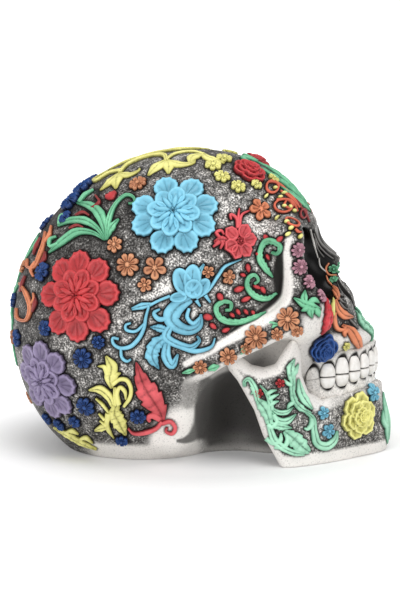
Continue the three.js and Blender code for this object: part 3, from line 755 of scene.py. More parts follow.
BLUE_HEAD = [
    petal((183, 283), -112, 0, 15, 9, 0.3, 1.6, 0, 5, 0.8),
    petal((192, 279), -84, 0, 14, 8.5, 0.4, 1.8, 0, 5, 0.8),
    petal((193, 289), -70, 0, 10, 9, 0.5, 1.9, 0, 5, 0.8),
    petal((201, 288), -52, 0, 11, 6.5, 0.3, 1.5, 0, 4, 0.8),
    petal((179, 297), 172, 0, 9, 5, 0.3, 1.5, 0, 4),
]
BLUE_SCROLL = strips(
    ([(195, 298), (198, 286), (198, 275), (204, 264)], [5, 8, 7, 2], VEIN),
    ([(196, 298), (208, 290), (218, 275), (225, 266), (241, 259)], [3, 3, 3, 2.5, 1.2]),
    ([(170, 296), (160, 300), (150, 305)], [3, 2.8, 2.8]),
    ([(153, 304), (142, 306), (132, 309)], [3, 7, 3], VEIN),
    ([(149, 306), (146, 317), (144, 328), (139, 338), (131, 346), (121, 348), (114, 344), (113, 338), (119, 339)],
     [2.5, 3, 3.6, 4, 4.4, 4.2, 3.4, 3, 2.6]),
    ([(144, 324), (136, 331), (127, 330), (126, 325), (131, 323)], [2.5, 3, 3, 3, 2]),
    ([(121, 348), (122, 357), (127, 361), (131, 359)], [2.5, 3, 3, 2]),
    ([(191, 299), (178, 306), (171, 317), (177, 326), (189, 330), (199, 325), (201, 314)],
     [7, 14, 17, 13, 10, 8, 2], VEIN),
    ([(189, 308), (187, 317), (193, 323), (200, 317)], [3, 4, 4, 2]),
    ([(168, 318), (159, 319), (154, 313), (160, 309)], [4, 5, 4, 2]),
    ([(169, 331), (160, 328), (150, 327)], [4, 10, 1], LEAF),
    ([(171, 325), (166, 336), (175, 343), (190, 347), (199, 341), (197, 336)], [6, 9, 8, 7, 5, 2], VEIN),
    ([(180, 347), (196, 351), (211, 347), (215, 338)], [4, 5, 4, 1.5]),
    ([(168, 336), (156, 344), (152, 356), (159, 369)], [7, 15, 15, 1], LEAF),
    ([(167, 343), (166, 356), (172, 365), (178, 354)], [7, 10, 8, 2], VEIN),
    ([(196, 300), (200, 306)], [4, 2]),
    ([(205, 295), (210, 302)], [4, 2]),
)
ornament("blue_scroll", "sky", Relief().add(board, *BLUE_HEAD, *BLUE_SCROLL))
YELLOW_SCROLL = strips(
    ([(112, 388), (110, 378), (112, 367), (106, 356)], [3, 11, 12, 2], VEIN),
    ([(108, 375), (105, 367), (98, 366)], [5, 5, 1]),
    ([(112, 381), (116, 375), (121, 373)], [4, 7, 1]),
    ([(113, 384), (120, 379), (127, 380), (131, 388), (130, 397), (124, 406)], [4, 4, 4, 4, 4, 3]),
    ([(119, 404), (117, 394), (120, 387), (125, 391), (126, 399)], [5, 5, 4, 4, 2]),
    ([(115, 387), (116, 396), (117, 405)], [3, 6, 5], VEIN),
    ([(113, 405), (109, 396), (100, 389), (89, 390)], [5, 8, 8, 1.5], VEIN),
    ([(96, 398), (103, 404), (109, 412)], [1.5, 3, 2]),
    ([(99, 413), (105, 419)], [1.5, 3]),
    ([(100, 420), (107, 425)], [1.5, 3]),
    ([(117, 402), (115, 412), (119, 421), (126, 435)], [6, 15, 15, 2], LEAF),
    ([(109, 413), (107, 423), (109, 430), (114, 438)], [7, 5, 4, 1]),
    ([(109, 427), (103, 427), (95, 430)], [3, 7, 2], VEIN),
)
ornament("yellow_scroll", "lemon", Relief().add(board, *YELLOW_SCROLL))
RED_LEAF = strips(
    ([(163, 420), (159, 409), (151, 397), (143, 383), (136, 362)], [6, 22, 26, 14, 1],
     dict(teeth=5, groove=1.0, depth=0.3)),
    ([(162, 421), (156, 428), (145, 432), (134, 433), (128, 428)], [4, 4, 4, 3, 1.5]),
    ([(162, 423), (170, 421), (175, 427), (172, 433), (166, 431), (167, 427)], [4, 4, 4, 4, 3, 2]),
    ([(160, 419), (153, 415), (148, 417), (150, 421)], [5, 6, 5, 3]),
)
ornament("red_leaf", "coral", Relief().add(board, *RED_LEAF))
HIBISCUS_MIDDLE = (239, 241)
HIBISCUS_TURNS = (62, 8, -50, -106, -150, 142)
HIBISCUS = [petal((0, 0), turn, 3.9, 2.9, 2.5, 0.3, 1.9, 6, 5) for turn in HIBISCUS_TURNS]
HIBISCUS_EYE = flower((0, 0), 1.3, 5, 20, 2.3)
HIBISCUS_BUD = strips(
    ([(237, 229), (236, 219), (230, 215), (231, 220)], [3, 3, 3, 2]),
    ([(238, 229), (238, 217), (239, 209)], [3, 3, 1.5]),
    ([(239, 229), (241, 216), (249, 211)], [3, 3, 1.5]),
    ([(229, 241), (221, 240), (214, 242)], [5, 10, 3], LEAF),
    ([(220, 238), (216, 233), (221, 231), (224, 235)], [3, 3.5, 3, 2]),
    ([(219, 242), (213, 247)], [5, 2]),
    ([(223, 243), (220, 249)], [4, 2]),
)
hibiscus = Relief().add(sheet(HIBISCUS_MIDDLE), *HIBISCUS, HIBISCUS_EYE).add(board, *HIBISCUS_BUD)
ornament("red_hibiscus", "rosy", hibiscus)
GREEN_FAN = strips(
    ([(107, 240), (104, 225), (99, 213), (90, 206), (77, 203)], [2, 7, 11, 8, 2], VEIN),
    ([(80, 203), (85, 196), (94, 190)], [3, 3, 1.5]),
    ([(106, 240), (97, 228), (85, 221), (70, 221), (58, 226)], [2, 5, 8, 6, 2], VEIN),
    ([(60, 225), (62, 217), (70, 213)], [3, 3, 2]),
    ([(105, 240), (93, 233), (78, 232), (65, 240), (49, 253)], [2, 5, 8, 7, 1.5], VEIN),
    ([(59, 244), (51, 247), (51, 240), (57, 237)], [3, 3, 3, 2]),
    ([(107, 240), (109, 222), (115, 206), (125, 196), (133, 197), (135, 203), (129, 204)],
     [2, 5, 5, 3.5, 3, 3, 2], VEIN),
    ([(107, 240), (111, 229), (119, 219)], [2, 9, 2], dict(teeth=3, groove=1.0)),
)
ornament("green_fan", "emerald", Relief().add(board, *GREEN_FAN))
TEMPLE_HOOK = strips(
    ([(273, 277), (266, 268), (260, 257), (263, 245), (271, 241), (280, 246), (278, 253), (272, 252)],
     [2, 7, 8, 6, 7, 6, 5, 3], BARBED),
)
ornament("temple_hook", "emerald", Relief().add(board, *TEMPLE_HOOK))
TEMPLE_CURL = strips(
    ([(277, 293), (267, 298), (256, 296), (248, 288), (248, 279), (254, 275), (258, 280), (254, 284)],
     [3, 6, 7, 7, 6, 5, 4, 3], BARBED),
)
ornament("temple_curl", "emerald", Relief().add(board, *TEMPLE_CURL))
TEMPLE_SCROLL = strips(
    ([(266, 312), (250, 319), (235, 322), (221, 318), (216, 308), (222, 302), (230, 303), (230, 309), (225, 310)],
     [2, 5, 7, 7, 7, 6, 5, 4, 3], BARBED),
)
ornament("temple_scroll", "emerald", Relief().add(board, *TEMPLE_SCROLL))
JAW_SCROLL = strips(
    ([(245, 386), (245, 381), (249, 379), (253, 384), (256, 391), (258, 400)], [3, 4, 5, 6, 6, 5], VEIN),
    ([(252, 386), (254, 391), (251, 394)], [4, 4, 1]),
    ([(257, 399), (264, 407), (268, 415), (270, 424)], [5, 13, 12, 7], dict(teeth=3, groove=1.0)),
    ([(260, 385), (266, 392), (270, 400), (271, 410)], [1, 4, 6, 7], VEIN),
    ([(267, 394), (272, 391), (277, 390)], [4, 4, 1]),
    ([(269, 399), (274, 396), (279, 394)], [4, 4, 1]),
    ([(270, 405), (275, 402), (279, 401)], [4, 4, 1]),
    ([(271, 407), (278, 412), (286, 412), (293, 407)], [2, 5, 5, 1], VEIN),
    ([(271, 411), (277, 419), (286, 421), (296, 414)], [3, 6, 7, 1], VEIN),
    ([(268, 424), (272, 427), (277, 421), (274, 414)], [4, 4, 4, 4]),
    ([(270, 424), (280, 426), (292, 428)], [6, 10, 1], LEAF),
    ([(269, 424), (272, 433), (275, 440), (281, 446), (287, 450), (295, 453), (304, 454)],
     [5, 6, 7, 7, 6, 6, 3], VEIN),
    ([(267, 438), (274, 443), (280, 440), (281, 433)], [4, 4, 5, 2]),
    ([(275, 447), (283, 447), (287, 441), (286, 434)], [3, 4, 5, 3]),
    ([(284, 431), (293, 438), (301, 446), (309, 452)], [6, 17, 18, 6], dict(teeth=4, groove=1.0)),
    ([(294, 359), (290, 369), (292, 381), (292, 392), (295, 402), (302, 409), (311, 413)],
     [2, 9, 7, 6, 7, 7, 2], LEAF),
    ([(290, 379), (294, 372), (298, 364)], [3, 5, 1]),
    ([(291, 385), (287, 383), (284, 379)], [4, 4, 1]),
    ([(293, 402), (289, 405), (287, 409)], [4, 4, 1]),
    ([(298, 379), (300, 392), (305, 401), (312, 409)], [2, 7, 8, 2], VEIN),
)
ornament("jaw_scroll", "mint", Relief().add(jaw_board, *JAW_SCROLL))
JAW_CURL = strips(
    ([(305, 412), (312, 418), (314, 432), (317, 443), (326, 446), (334, 440), (337, 431)],
     [2, 6, 6, 8, 9, 7, 2], VEIN),
    ([(311, 418), (311, 424), (307, 429), (304, 428)], [4, 5, 4, 2]),
)
ornament("jaw_curl", "mint", Relief().add(board, *JAW_CURL))
CHEEK_GARLAND = flowers(
    ((288, 319), 4.4, 8, 10), ((256, 337), 4.4, 8, 0), ((228, 356), 3.4, 7, 20), ((200, 367), 2.8, 7, 0),
    ((277, 334), 2.4, 6, 0), ((297, 331), 2.4, 6, 0), ((246, 348), 2.2, 6, 0),
)
ornament("cheek_garland", "amber", CHEEK_GARLAND)
EYE_GARLAND = flowers(
    ((298, 250), 2.9, 9, 0, STAR), ((300, 267), 3.1, 9, 10, STAR), ((309, 282), 2.9, 9, 0, STAR),
    ((321, 296), 2.7, 9, 0, STAR),
)
ornament("eye_garland", "mauve", EYE_GARLAND)
ORANGE_STAR = flowers(((260, 210), 4.7, 5, 15, dict(gap=0.62)))
ornament("orange_star", "orange", ORANGE_STAR)
ORANGE_BLOOM = flowers(((128, 265), 4.5, 8, 0))
ornament("orange_bloom", "amber", ORANGE_BLOOM)
NAVY_BLOOM = flowers(((83, 358), 4.0, 8, 10, dict(height=1.6)))
ornament("navy_bloom", "navy", NAVY_BLOOM)
# Roses: the colour, the pixel of the middle, the radius, the turn and the lobes of a petal.
ROSES = {
    "navy_rose": ("navy", (323, 349), 5.4, 0, 0),
    "yellow_rose": ("lemon", (357, 416), 8.6, 15, 7),
    "crown_rose": ("scarlet", (249, 172), 6.2, 30, 0),
}
for name, (colour, middle, radius, turn, lobes) in ROSES.items():
    ornament(name, colour, Relief().add(sheet(middle), *rose(radius, turn, lobes)))
CHEEK_LEAF = strips(
    ([(294, 298), (304, 304), (312, 307), (321, 309)], [1.5, 8, 9, 1], VEIN),
    ([(305, 304), (304, 298), (305, 290)], [5, 7, 1], VEIN),
    ([(308, 304), (313, 300), (319, 303)], [4, 6, 1]),
    ([(308, 305), (305, 309), (301, 311)], [4, 6, 1]),
    ([(311, 306), (310, 312), (312, 318)], [5, 7, 1], VEIN),
    ([(315, 308), (317, 312), (319, 317)], [4, 6, 1]),
)
ornament("cheek_leaf", "emerald", Relief().add(board, *CHEEK_LEAF))
NOSE_SCROLL = strips(
    ([(333, 290), (337, 295), (338, 300)], [3, 7, 2], VEIN),
    ([(333, 287), (336, 290), (339, 294)], [2.5, 4, 2], VEIN),
    ([(335, 300), (338, 309), (344, 315), (353, 317)], [3, 7, 9, 2], VEIN),
    ([(334, 312), (334, 322), (337, 329), (343, 330), (345, 326)], [3, 4, 4, 4, 2]),
    ([(342, 325), (350, 331), (356, 340), (361, 350)], [3, 9, 10, 4], VEIN),
    ([(348, 330), (344, 333), (345, 337)], [4, 5, 2]),
)
ornament("nose_scroll", "orange", Relief().add(board, *NOSE_SCROLL))
CHIN_LEAF_MIDDLE = (76, 0, 13)
CHIN_LEAF = strips(
    ([(-10, -1), (-2, -4), (5, -4.5), (10, -2)], [1, 2.6, 3, 1], VEIN),
    ([(-8, -0.3), (0, -1), (9, -0.4)], [0.8, 2, 0.8], VEIN),
    ([(4, -4.5), (0, -7), (-4, -5.5)], [1.2, 2, 0.6]),
)
ornament("chin_leaf", "mint", Relief().add(sheet(CHIN_LEAF_MIDDLE), *CHIN_LEAF), both=False)
FOREHEAD_CREST_MIDDLE = (34, 0, 108)
FOREHEAD_CREST = strips(
    ([(-15, 0), (0, -0.6), (16, 0)], [1, 4.2, 1], LEAF),
    ([(13, -1), (6, -4.5), (-4, -8), (-13, -7)], [1.4, 4, 4, 0.6], LEAF),
    ([(15, -1), (11, -6), (5, -10), (-1, -12)], [1.4, 3.6, 3.4, 0.6], LEAF),
    ([(-13, -1), (-18, -4), (-16, -8), (-13, -6)], [1.2, 2, 1.8, 1]),
)
ornament("forehead_crest", "emerald", Relief().add(sheet(FOREHEAD_CREST_MIDDLE, 0, 12, 16), *FOREHEAD_CREST), both=False)
CROWN_SCROLL_MIDDLE = (-14, 0, 120)
CROWN_SCROLL = strips(
    ([(-17, -15), (-14, -9), (-7, -6), (0, -9), (2, -16)], [1.6, 2, 2, 2, 1.6], VEIN),
    ([(-17, -15), (-21, -19), (-25, -21)], [2, 5.5, 1], BROAD),
    ([(-17, -15), (-18, -20), (-18, -25)], [2, 5.5, 1], BROAD),
    ([(-17, -16), (-13, -20), (-9, -19), (-9, -17)], [1.6, 3.5, 2, 0.6], BROAD),
    ([(2, -15), (-2, -20), (-5, -24)], [2, 6, 1], BROAD),
    ([(2, -15), (3, -20), (3, -25)], [2, 5.5, 1], BROAD),
    ([(2, -16), (7, -20), (12, -19), (13, -16)], [2, 4.5, 2.5, 0.6], BROAD),
    ([(2, -14), (5, -9), (11, -7), (16, -10)], [1.4, 1.8, 1.8, 1.4], BROAD),
    ([(16, -10), (12, -14), (11, -19)], [2, 5, 1], BROAD),
    ([(16, -10), (18, -14), (24, -16)], [2, 5, 1], BROAD),
    ([(-24, 0), (-16, -1), (-8, 0)], [1, 2.4, 1], VEIN),
    ([(-4, 0), (4, -1), (14, 0)], [1, 2.4, 1], VEIN),
    ([(-17, -13), (-22, -10), (-27, -11), (-29, -6), (-25, -4)], [1.6, 2, 2, 1.6, 1], VEIN),
)
ornament("crown_scroll", "lemon", Relief().add(sheet(CROWN_SCROLL_MIDDLE, 0, 16, 20), *CROWN_SCROLL), both=False)


def extra(name, colour, relief):
    """A moulding that stands for no node."""
    ornament(name, colour, relief, node=False)


SIDE_BLOOMS = flowers(
    ((138, 184), 3.6, 8, 5), ((115, 245), 3.2, 6, 0, STAR), ((155, 268), 4.5, 5, 20, STAR),
    ((145, 285), 2.8, 5, 0, STAR), ((208, 272), 2.4, 5, 10, STAR), ((228, 277), 2.9, 5, 40, STAR),
)
extra("side_blooms", "amber", SIDE_BLOOMS)
NAVY_SPRIGS = flowers(
    ((99, 342), 2.6, 7, 0, BUSH), ((86, 406), 3.9, 7, 0, BUSH), ((75, 421), 2.6, 6, 0, BUSH),
    ((60, 424), 2.8, 6, 0, BUSH), ((46, 328), 3.2, 6, 30, BUSH), ((43, 272), 4.0, 6, 0, BUSH),
    ((138, 416), 3.2, 7, 20, BUSH), ((122, 440), 2.5, 6, 0, BUSH), ((18, 338), 3.6, 6, 0, BUSH),
    ((48, 418), 2.6, 6, 0, BUSH),
)
extra("navy_sprigs", "navy", NAVY_SPRIGS)
CROWN_BLOOMS = flowers(
    ((213, 166), 3.4, 6, 0), ((222, 177), 3.2, 6, 20), ((238, 187), 3.0, 6, 0), ((256, 185), 2.3, 6, 0),
    ((224, 159), 3.4, 6, 0), ((273, 179), 2.4, 6, 0),
)
extra("crown_blooms", "lemon", CROWN_BLOOMS)
JAW_BLOOMS = flowers(
    ((323, 413), 2.5, 5, 0, STAR), ((328, 431), 3.0, 5, 20, STAR), ((373, 393), 3.6, 5, 0, STAR),
)
extra("jaw_blooms", "sky", JAW_BLOOMS)
JAW_STARS = flowers(((280, 383), 1.8, 5, 0, STAR), ((259, 393), 1.8, 5, 30, STAR))
extra("jaw_stars", "scarlet", JAW_STARS)
GUM_BLOOM = flowers(((346, 346), 1.6, 5, 0, STAR))
extra("gum_bloom", "lemon", GUM_BLOOM)


def drops(*items):
    """Droplets: pixel, turn, length and width."""
    return [drop(place, turn, length, width) for place, turn, length, width in items]


TEMPLE_DROPS = drops(
    ((248, 268), 80, 9, 5), ((243, 275), 20, 6, 4), ((239, 289), -20, 11, 6), ((246, 299), -25, 11, 5),
    ((220, 297), 60, 9, 6), ((208, 317), 10, 10, 7), ((213, 326), 40, 8, 5), ((226, 330), -20, 9, 5),
    ((238, 312), 60, 7, 4), ((246, 312), 50, 7, 4), ((257, 287), 20, 9, 4), ((263, 290), 60, 8, 5),
    ((280, 239), -40, 8, 5), ((258, 254), 10, 6, 4), ((266, 237), 0, 5, 5), ((268, 257), 60, 7, 4),
    ((253, 313), 60, 6, 4), ((232, 315), 40, 6, 4),
)
extra("temple_drops", "scarlet", Relief().add(board, *TEMPLE_DROPS))
GARLAND_LEAVES = strips(
    ([(264, 328), (271, 325), (280, 324)], [2, 7, 1], VEIN),
    ([(238, 354), (243, 349), (247, 344)], [2, 7, 1], VEIN),
    ([(208, 369), (213, 367), (219, 365)], [3, 7, 2], VEIN),
    ([(182, 373), (189, 371), (195, 369)], [1, 5, 2], VEIN),
)
extra("garland_leaves", "emerald", Relief().add(board, *GARLAND_LEAVES))
CHEEK_DROP_MIDDLE = (327, 316)
CHEEK_DROP = strips(
    ([(-8, 2.5), (-3, 1), (2, 0), (7, 1)], [1, 4, 6.5, 6, 1.5], dict(LEAF, height=2.2, spacing=0.4)),
)
extra("cheek_drop", "cherry", Relief().add(sheet(CHEEK_DROP_MIDDLE), *CHEEK_DROP))
NOSE_BLOOMS = flowers(((333, 269), 1.8, 6, 0), ((333, 280), 1.3, 6, 0))
extra("nose_blooms", "emerald", NOSE_BLOOMS)
NOSE_RING_MIDDLE = (333, 269)
NOSE_RING = strips(
    ([(-1.6, 2.4), (-2.5, 0), (-1.4, -2.3), (1.2, -2.4)], [0.6, 0.8, 0.8, 0.6], FINE),
)
NOSE_HOOK = strips(
    ([(326, 276), (328, 282), (332, 286)], [1.5, 2, 1.5]),
)
extra("nose_ring", "orange", Relief().add(sheet(NOSE_RING_MIDDLE), *NOSE_RING).add(board, *NOSE_HOOK))
# Painted highlights: pale strips along the edge of the nose's bridge and the rim of the nose hole.
NOSE_RIDGE_HIGHLIGHTS = strips(
    ([(310, 229), (313, 241), (318, 258)], [1.5, 2.5, 1.5], LOW_RELIEF),
    ([(319, 258), (320, 266), (326, 272)], [1.5, 2, 1.5], LOW_RELIEF),
    ([(336, 256), (339, 257), (340, 262)], [1.5, 2.5, 1.5], LOW_RELIEF),
)
extra("nose_ridge_highlights", "pale_highlight", Relief().add(board, *NOSE_RIDGE_HIGHLIGHTS))
NOSE_LINES = strips(
    ([(314, 231), (319, 242), (326, 250), (335, 256)], [1, 1.2, 1.2, 1], LOW_RELIEF),
    ([(313, 233), (318, 245), (325, 253), (333, 259)], [1, 1.2, 1.2, 1], LOW_RELIEF),
    ([(314, 238), (318, 249), (324, 257)], [1, 1.2, 1], LOW_RELIEF),
    ([(337, 293), (340, 295), (343, 296)], [1.5, 2, 1], LOW_RELIEF),
    ([(338, 297), (341, 301), (345, 303)], [1.5, 2, 1], LOW_RELIEF),
    ([(339, 302), (343, 307), (347, 309)], [1.5, 2, 1], LOW_RELIEF),
    ([(349, 319), (353, 324), (357, 328)], [1.5, 2, 1], LOW_RELIEF),
)
extra("nose_lines", "ash", Relief().add(board, *NOSE_LINES))
NOSE_STEM = strips(
    ([(333, 299), (332, 309), (334, 319)], [1.5, 3, 1.5]),
)
extra("nose_stem", "lemon", Relief().add(board, *NOSE_STEM))
LIP_LEAF_MIDDLE = (362, 324)
LIP_LEAF = strips(
    ([(-6, -0.4), (-2, -1.6), (2, -1.8), (7, -0.6)],
     [0.8, 3.6, 4, 1], dict(VEIN, teeth=5, height=1.8, spacing=0.4)),
)
extra("lip_leaf", "mint", Relief().add(sheet(LIP_LEAF_MIDDLE), *LIP_LEAF))


def loop(place, across, up):
    """A route round an oval."""
    angles = np.linspace(0, 2 * np.pi, 10)
    return [(place[0] + across * math.cos(t), place[1] + up * math.sin(t)) for t in angles]


THIN = [2.2, 2.2]
BROW_RINGS = strips(
    (loop((272, 187), 6, 6), THIN, LOW_RELIEF),
    (loop((283, 206), 9, 6.5), THIN, LOW_RELIEF),
    ([(268, 182), (278, 184), (291, 196), (299, 208)], [2, 2, 2, 1.5], LOW_RELIEF),
    ([(276, 200), (288, 200), (295, 207), (297, 212)], [2, 2, 2, 1.5], LOW_RELIEF),
    ([(280, 191), (288, 196), (297, 206)], [1.5, 2, 1.5], LOW_RELIEF),
    ([(287, 199), (284, 205), (289, 209)], [1.5, 2.2, 1.5], LOW_RELIEF),
    ([(295, 229), (298, 232), (301, 232)], [2, 2.5, 1.5], LOW_RELIEF),
)
THIRD_RING_MIDDLE = (293, 221)
THIRD_RING = strips((loop((0, 0), 2.6, 3.2), [0.9, 0.9], FINE))
brow = Relief().add(board, *BROW_RINGS).add(sheet(THIRD_RING_MIDDLE), *THIRD_RING)
extra("brow_rings", "ember", brow)
BROW_CURLS = strips(
    (loop((303, 214), 3, 4.5), [1.6, 1.6], LOW_RELIEF),
    ([(299, 206), (305, 213), (309, 222)], [1.4, 1.8, 1.2], LOW_RELIEF),
    ([(289, 193), (296, 201), (301, 206)], [1.4, 1.8, 1.2], LOW_RELIEF),
)
extra("brow_curls", "crimson", Relief().add(board, *BROW_CURLS))
BROW_DROPS = drops(
    ((275, 188), 20, 5, 3), ((266, 196), -50, 6, 3), ((284, 193), 10, 6, 3), ((284, 206), 20, 5, 3),
    ((290, 207), 60, 5, 3), ((291, 228), -20, 6, 4), ((300, 236), -60, 6, 4), ((277, 218), -40, 6, 3),
    ((287, 222), 0, 6, 3), ((288, 234), -30, 7, 4), ((280, 197), 0, 5, 3), ((294, 211), 30, 5, 3),
)
extra("brow_drops", "lemon", Relief().add(board, *BROW_DROPS))
BACK_SCROLLS = strips(
    ([(46, 232), (44, 245), (40, 257), (35, 267), (28, 267), (28, 259)], [2, 3, 4, 3.5, 3, 2], VEIN),
    ([(20, 283), (27, 294), (31, 308), (27, 320), (18, 318), (17, 308)], [2, 4, 4, 3.5, 3, 2], VEIN),
    ([(44, 244), (50, 236), (52, 226)], [2, 3, 1.5]),
    ([(30, 306), (35, 300), (34, 293)], [2, 3, 1.5]),
    ([(36, 262), (32, 270), (34, 277)], [2, 3, 1.5]),
)
extra("back_scrolls", "orange", Relief().add(board, *BACK_SCROLLS))
BACK_ACCENTS = strips(
    ([(41, 238), (37, 247), (34, 255)], [1.5, 3, 1.5]),
    ([(46, 252), (45, 259), (40, 265)], [2, 4, 2]),
    ([(26, 276), (23, 284), (21, 292)], [1.5, 2.5, 1.5]),
    ([(35, 296), (36, 303), (33, 312)], [2, 4, 2]),
    ([(92, 209), (100, 203), (96, 196)], [2, 3, 2]),
    ([(76, 216), (84, 213), (90, 216)], [2, 3, 2]),
    ([(70, 229), (78, 226), (84, 228)], [2, 3, 2]),
)
extra("back_accents", "crimson", Relief().add(board, *BACK_ACCENTS))
FAN_BUD = strips(([(106, 197), (111, 197), (116, 192)], [4, 8, 3]))
extra("fan_bud", "scarlet", Relief().add(board, *FAN_BUD))
NAPE_SCROLL = strips(
    ([(54, 427), (68, 434), (82, 442), (97, 449)], [2, 6, 6, 2], LEAF),
    ([(66, 432), (72, 430), (79, 434)], [2, 4, 1]),
    ([(78, 440), (86, 437), (93, 443)], [2, 4, 1]),
)
extra("nape_scroll", "lemon", Relief().add(board, *NAPE_SCROLL))
BACK_ROSE = flowers(
    ((72, 203), 4.6, 6, 0, TALL), ((84, 189), 4.4, 6, 30, TALL), ((66, 218), 3.0, 6, 0, BUSH),
)
extra("back_rose", "navy", BACK_ROSE)

# The back of the head is a guess: a vine and flowers on each side of the middle.
BACK_VINE_MIDDLE = (-75, 0, 60)
BACK_VINE = strips(
    ([(-27, 3), (-15, 8), (0, 3.5), (15, 8), (30, 3)], [1, 2, 2.2, 2, 1], FINE),
    ([(-15, 7), (-20, 12), (-25, 12), (-26, 8)], [1.2, 1.8, 1.6, 1], FINE),
    ([(15, 7), (20, 12), (25, 12), (26, 8)], [1.2, 1.8, 1.6, 1], FINE),
    ([(1, 4), (-3, 9), (-8, 15)], [1, 4, 0.8], FINE_VEIN),
    ([(1, 4), (5, 9), (9, 15)], [1, 4, 0.8], FINE_VEIN),
)
extra("back_vine", "emerald", Relief().add(sheet(BACK_VINE_MIDDLE), *BACK_VINE))
BACK_BLOOMS = flowers(
    ((-71, -13, 74), 2.7, 8, 0), ((-74, -14, 45), 2.9, 8, 0), ((-66, -4, 20), 3, 6, 0, STAR),
)
extra("back_blooms", "amber", BACK_BLOOMS)
BACK_SPRIGS = flowers(((-75, -13, 60), 3, 7, 0, BUSH), ((-62, -6, 90), 3, 6, 0, BUSH))
extra("back_sprigs", "navy", BACK_SPRIGS)

# Castings
cranium_points, cranium_faces = mesh_of(CRANIUM)
jaw_points, jaw_faces = mesh_of(JAW)


def outline_wash(points, rough):
    """The wash and painted shade that gather along the foot of each moulding, widest on rough ground."""
    marks = np.vstack(feet)
    tree = KDTree(len(marks))
    for i, mark in enumerate(marks.tolist()):
        tree.insert(mark, i)
    tree.balance()
    near = points * np.array([1, -1, 1])
    near[:, 1] = -np.abs(points[:, 1])
    gap = np.array([tree.find(p)[2] for p in near.tolist()])
    return 1 - ramp(gap, 0.55 + 0.1 * rough, 1.1 + 0.6 * rough)


def beside(pixels, route, widths):
    """1 on a drawn line, falling to 0 at its half width, in pixels."""
    middle, _, share = spline(route, 2.0)
    width = np.interp(share, np.linspace(0, 1, len(widths)), widths)
    nearest = np.full(len(pixels), np.inf)
    for place, half in zip(middle, width):
        nearest = np.minimum(nearest, np.hypot(*(pixels - place).T) / half)
    return 1 - ramp(nearest, 0.55, 1.1)


# The painted shade in the hollow that runs down behind the eye rim and back along the cheek arch, in pixels.
TEMPLE_CREASE_SHADE = [
    (284, 243), (280, 258), (279, 276), (281, 292), (275, 304), (262, 313), (246, 322), (230, 332),
]
CREASE_SHADE_WIDTHS = [2.5, 6, 9, 10, 9, 6, 4, 2]

# The white edge beside that hollow.
RIM_STRIP = [
    (290, 234), (287, 250), (288, 268), (288, 285), (285, 300), (272, 314), (250, 328), (222, 344), (186, 364),
]
RIM_WIDTHS = [3, 5, 6, 7, 8, 7, 5, 5, 4]

# The painted shade that turns the knob behind the jaw round, painted grey shade above it and painted light on the
# floor of the recess.
KNOB_SHADE = [(206, 384), (204, 398), (203, 412), (200, 425), (194, 435), (186, 440), (178, 441)]
KNOB_SHADE_WIDTHS = [9, 9, 9, 9, 8, 5, 2]
KNOB_TOP_SHADE = [(190, 384), (191, 394), (188, 402)]
KNOB_TOP_SHADE_WIDTHS = [8, 12, 8]
RECESS_LIGHT = (238, 440)
RECESS_LIGHT_REACH = (17, 9)

# How much white was brushed on, and where it was more or less: a pixel, a reach and an amount.
EVEN_BRUSH = 0.48
BRUSHED = [
    ((215, 245), 60, 0.68), ((175, 328), 42, 0.7), ((38, 372), 42, 0.35), ((95, 235), 48, -0.45),
    ((152, 316), 40, 0.5), ((105, 382), 45, 0.45), ((268, 238), 48, 0.5), ((118, 215), 26, -0.3),
    ((12, 285), 25, -0.45), ((195, 188), 20, -0.35), ((170, 165), 40, 0.15),
]


def folded(p):
    """Places folded to the side with Y above 0."""
    return np.stack([p[:, 0], np.abs(p[:, 1]), p[:, 2]], -1).astype(np.float32)


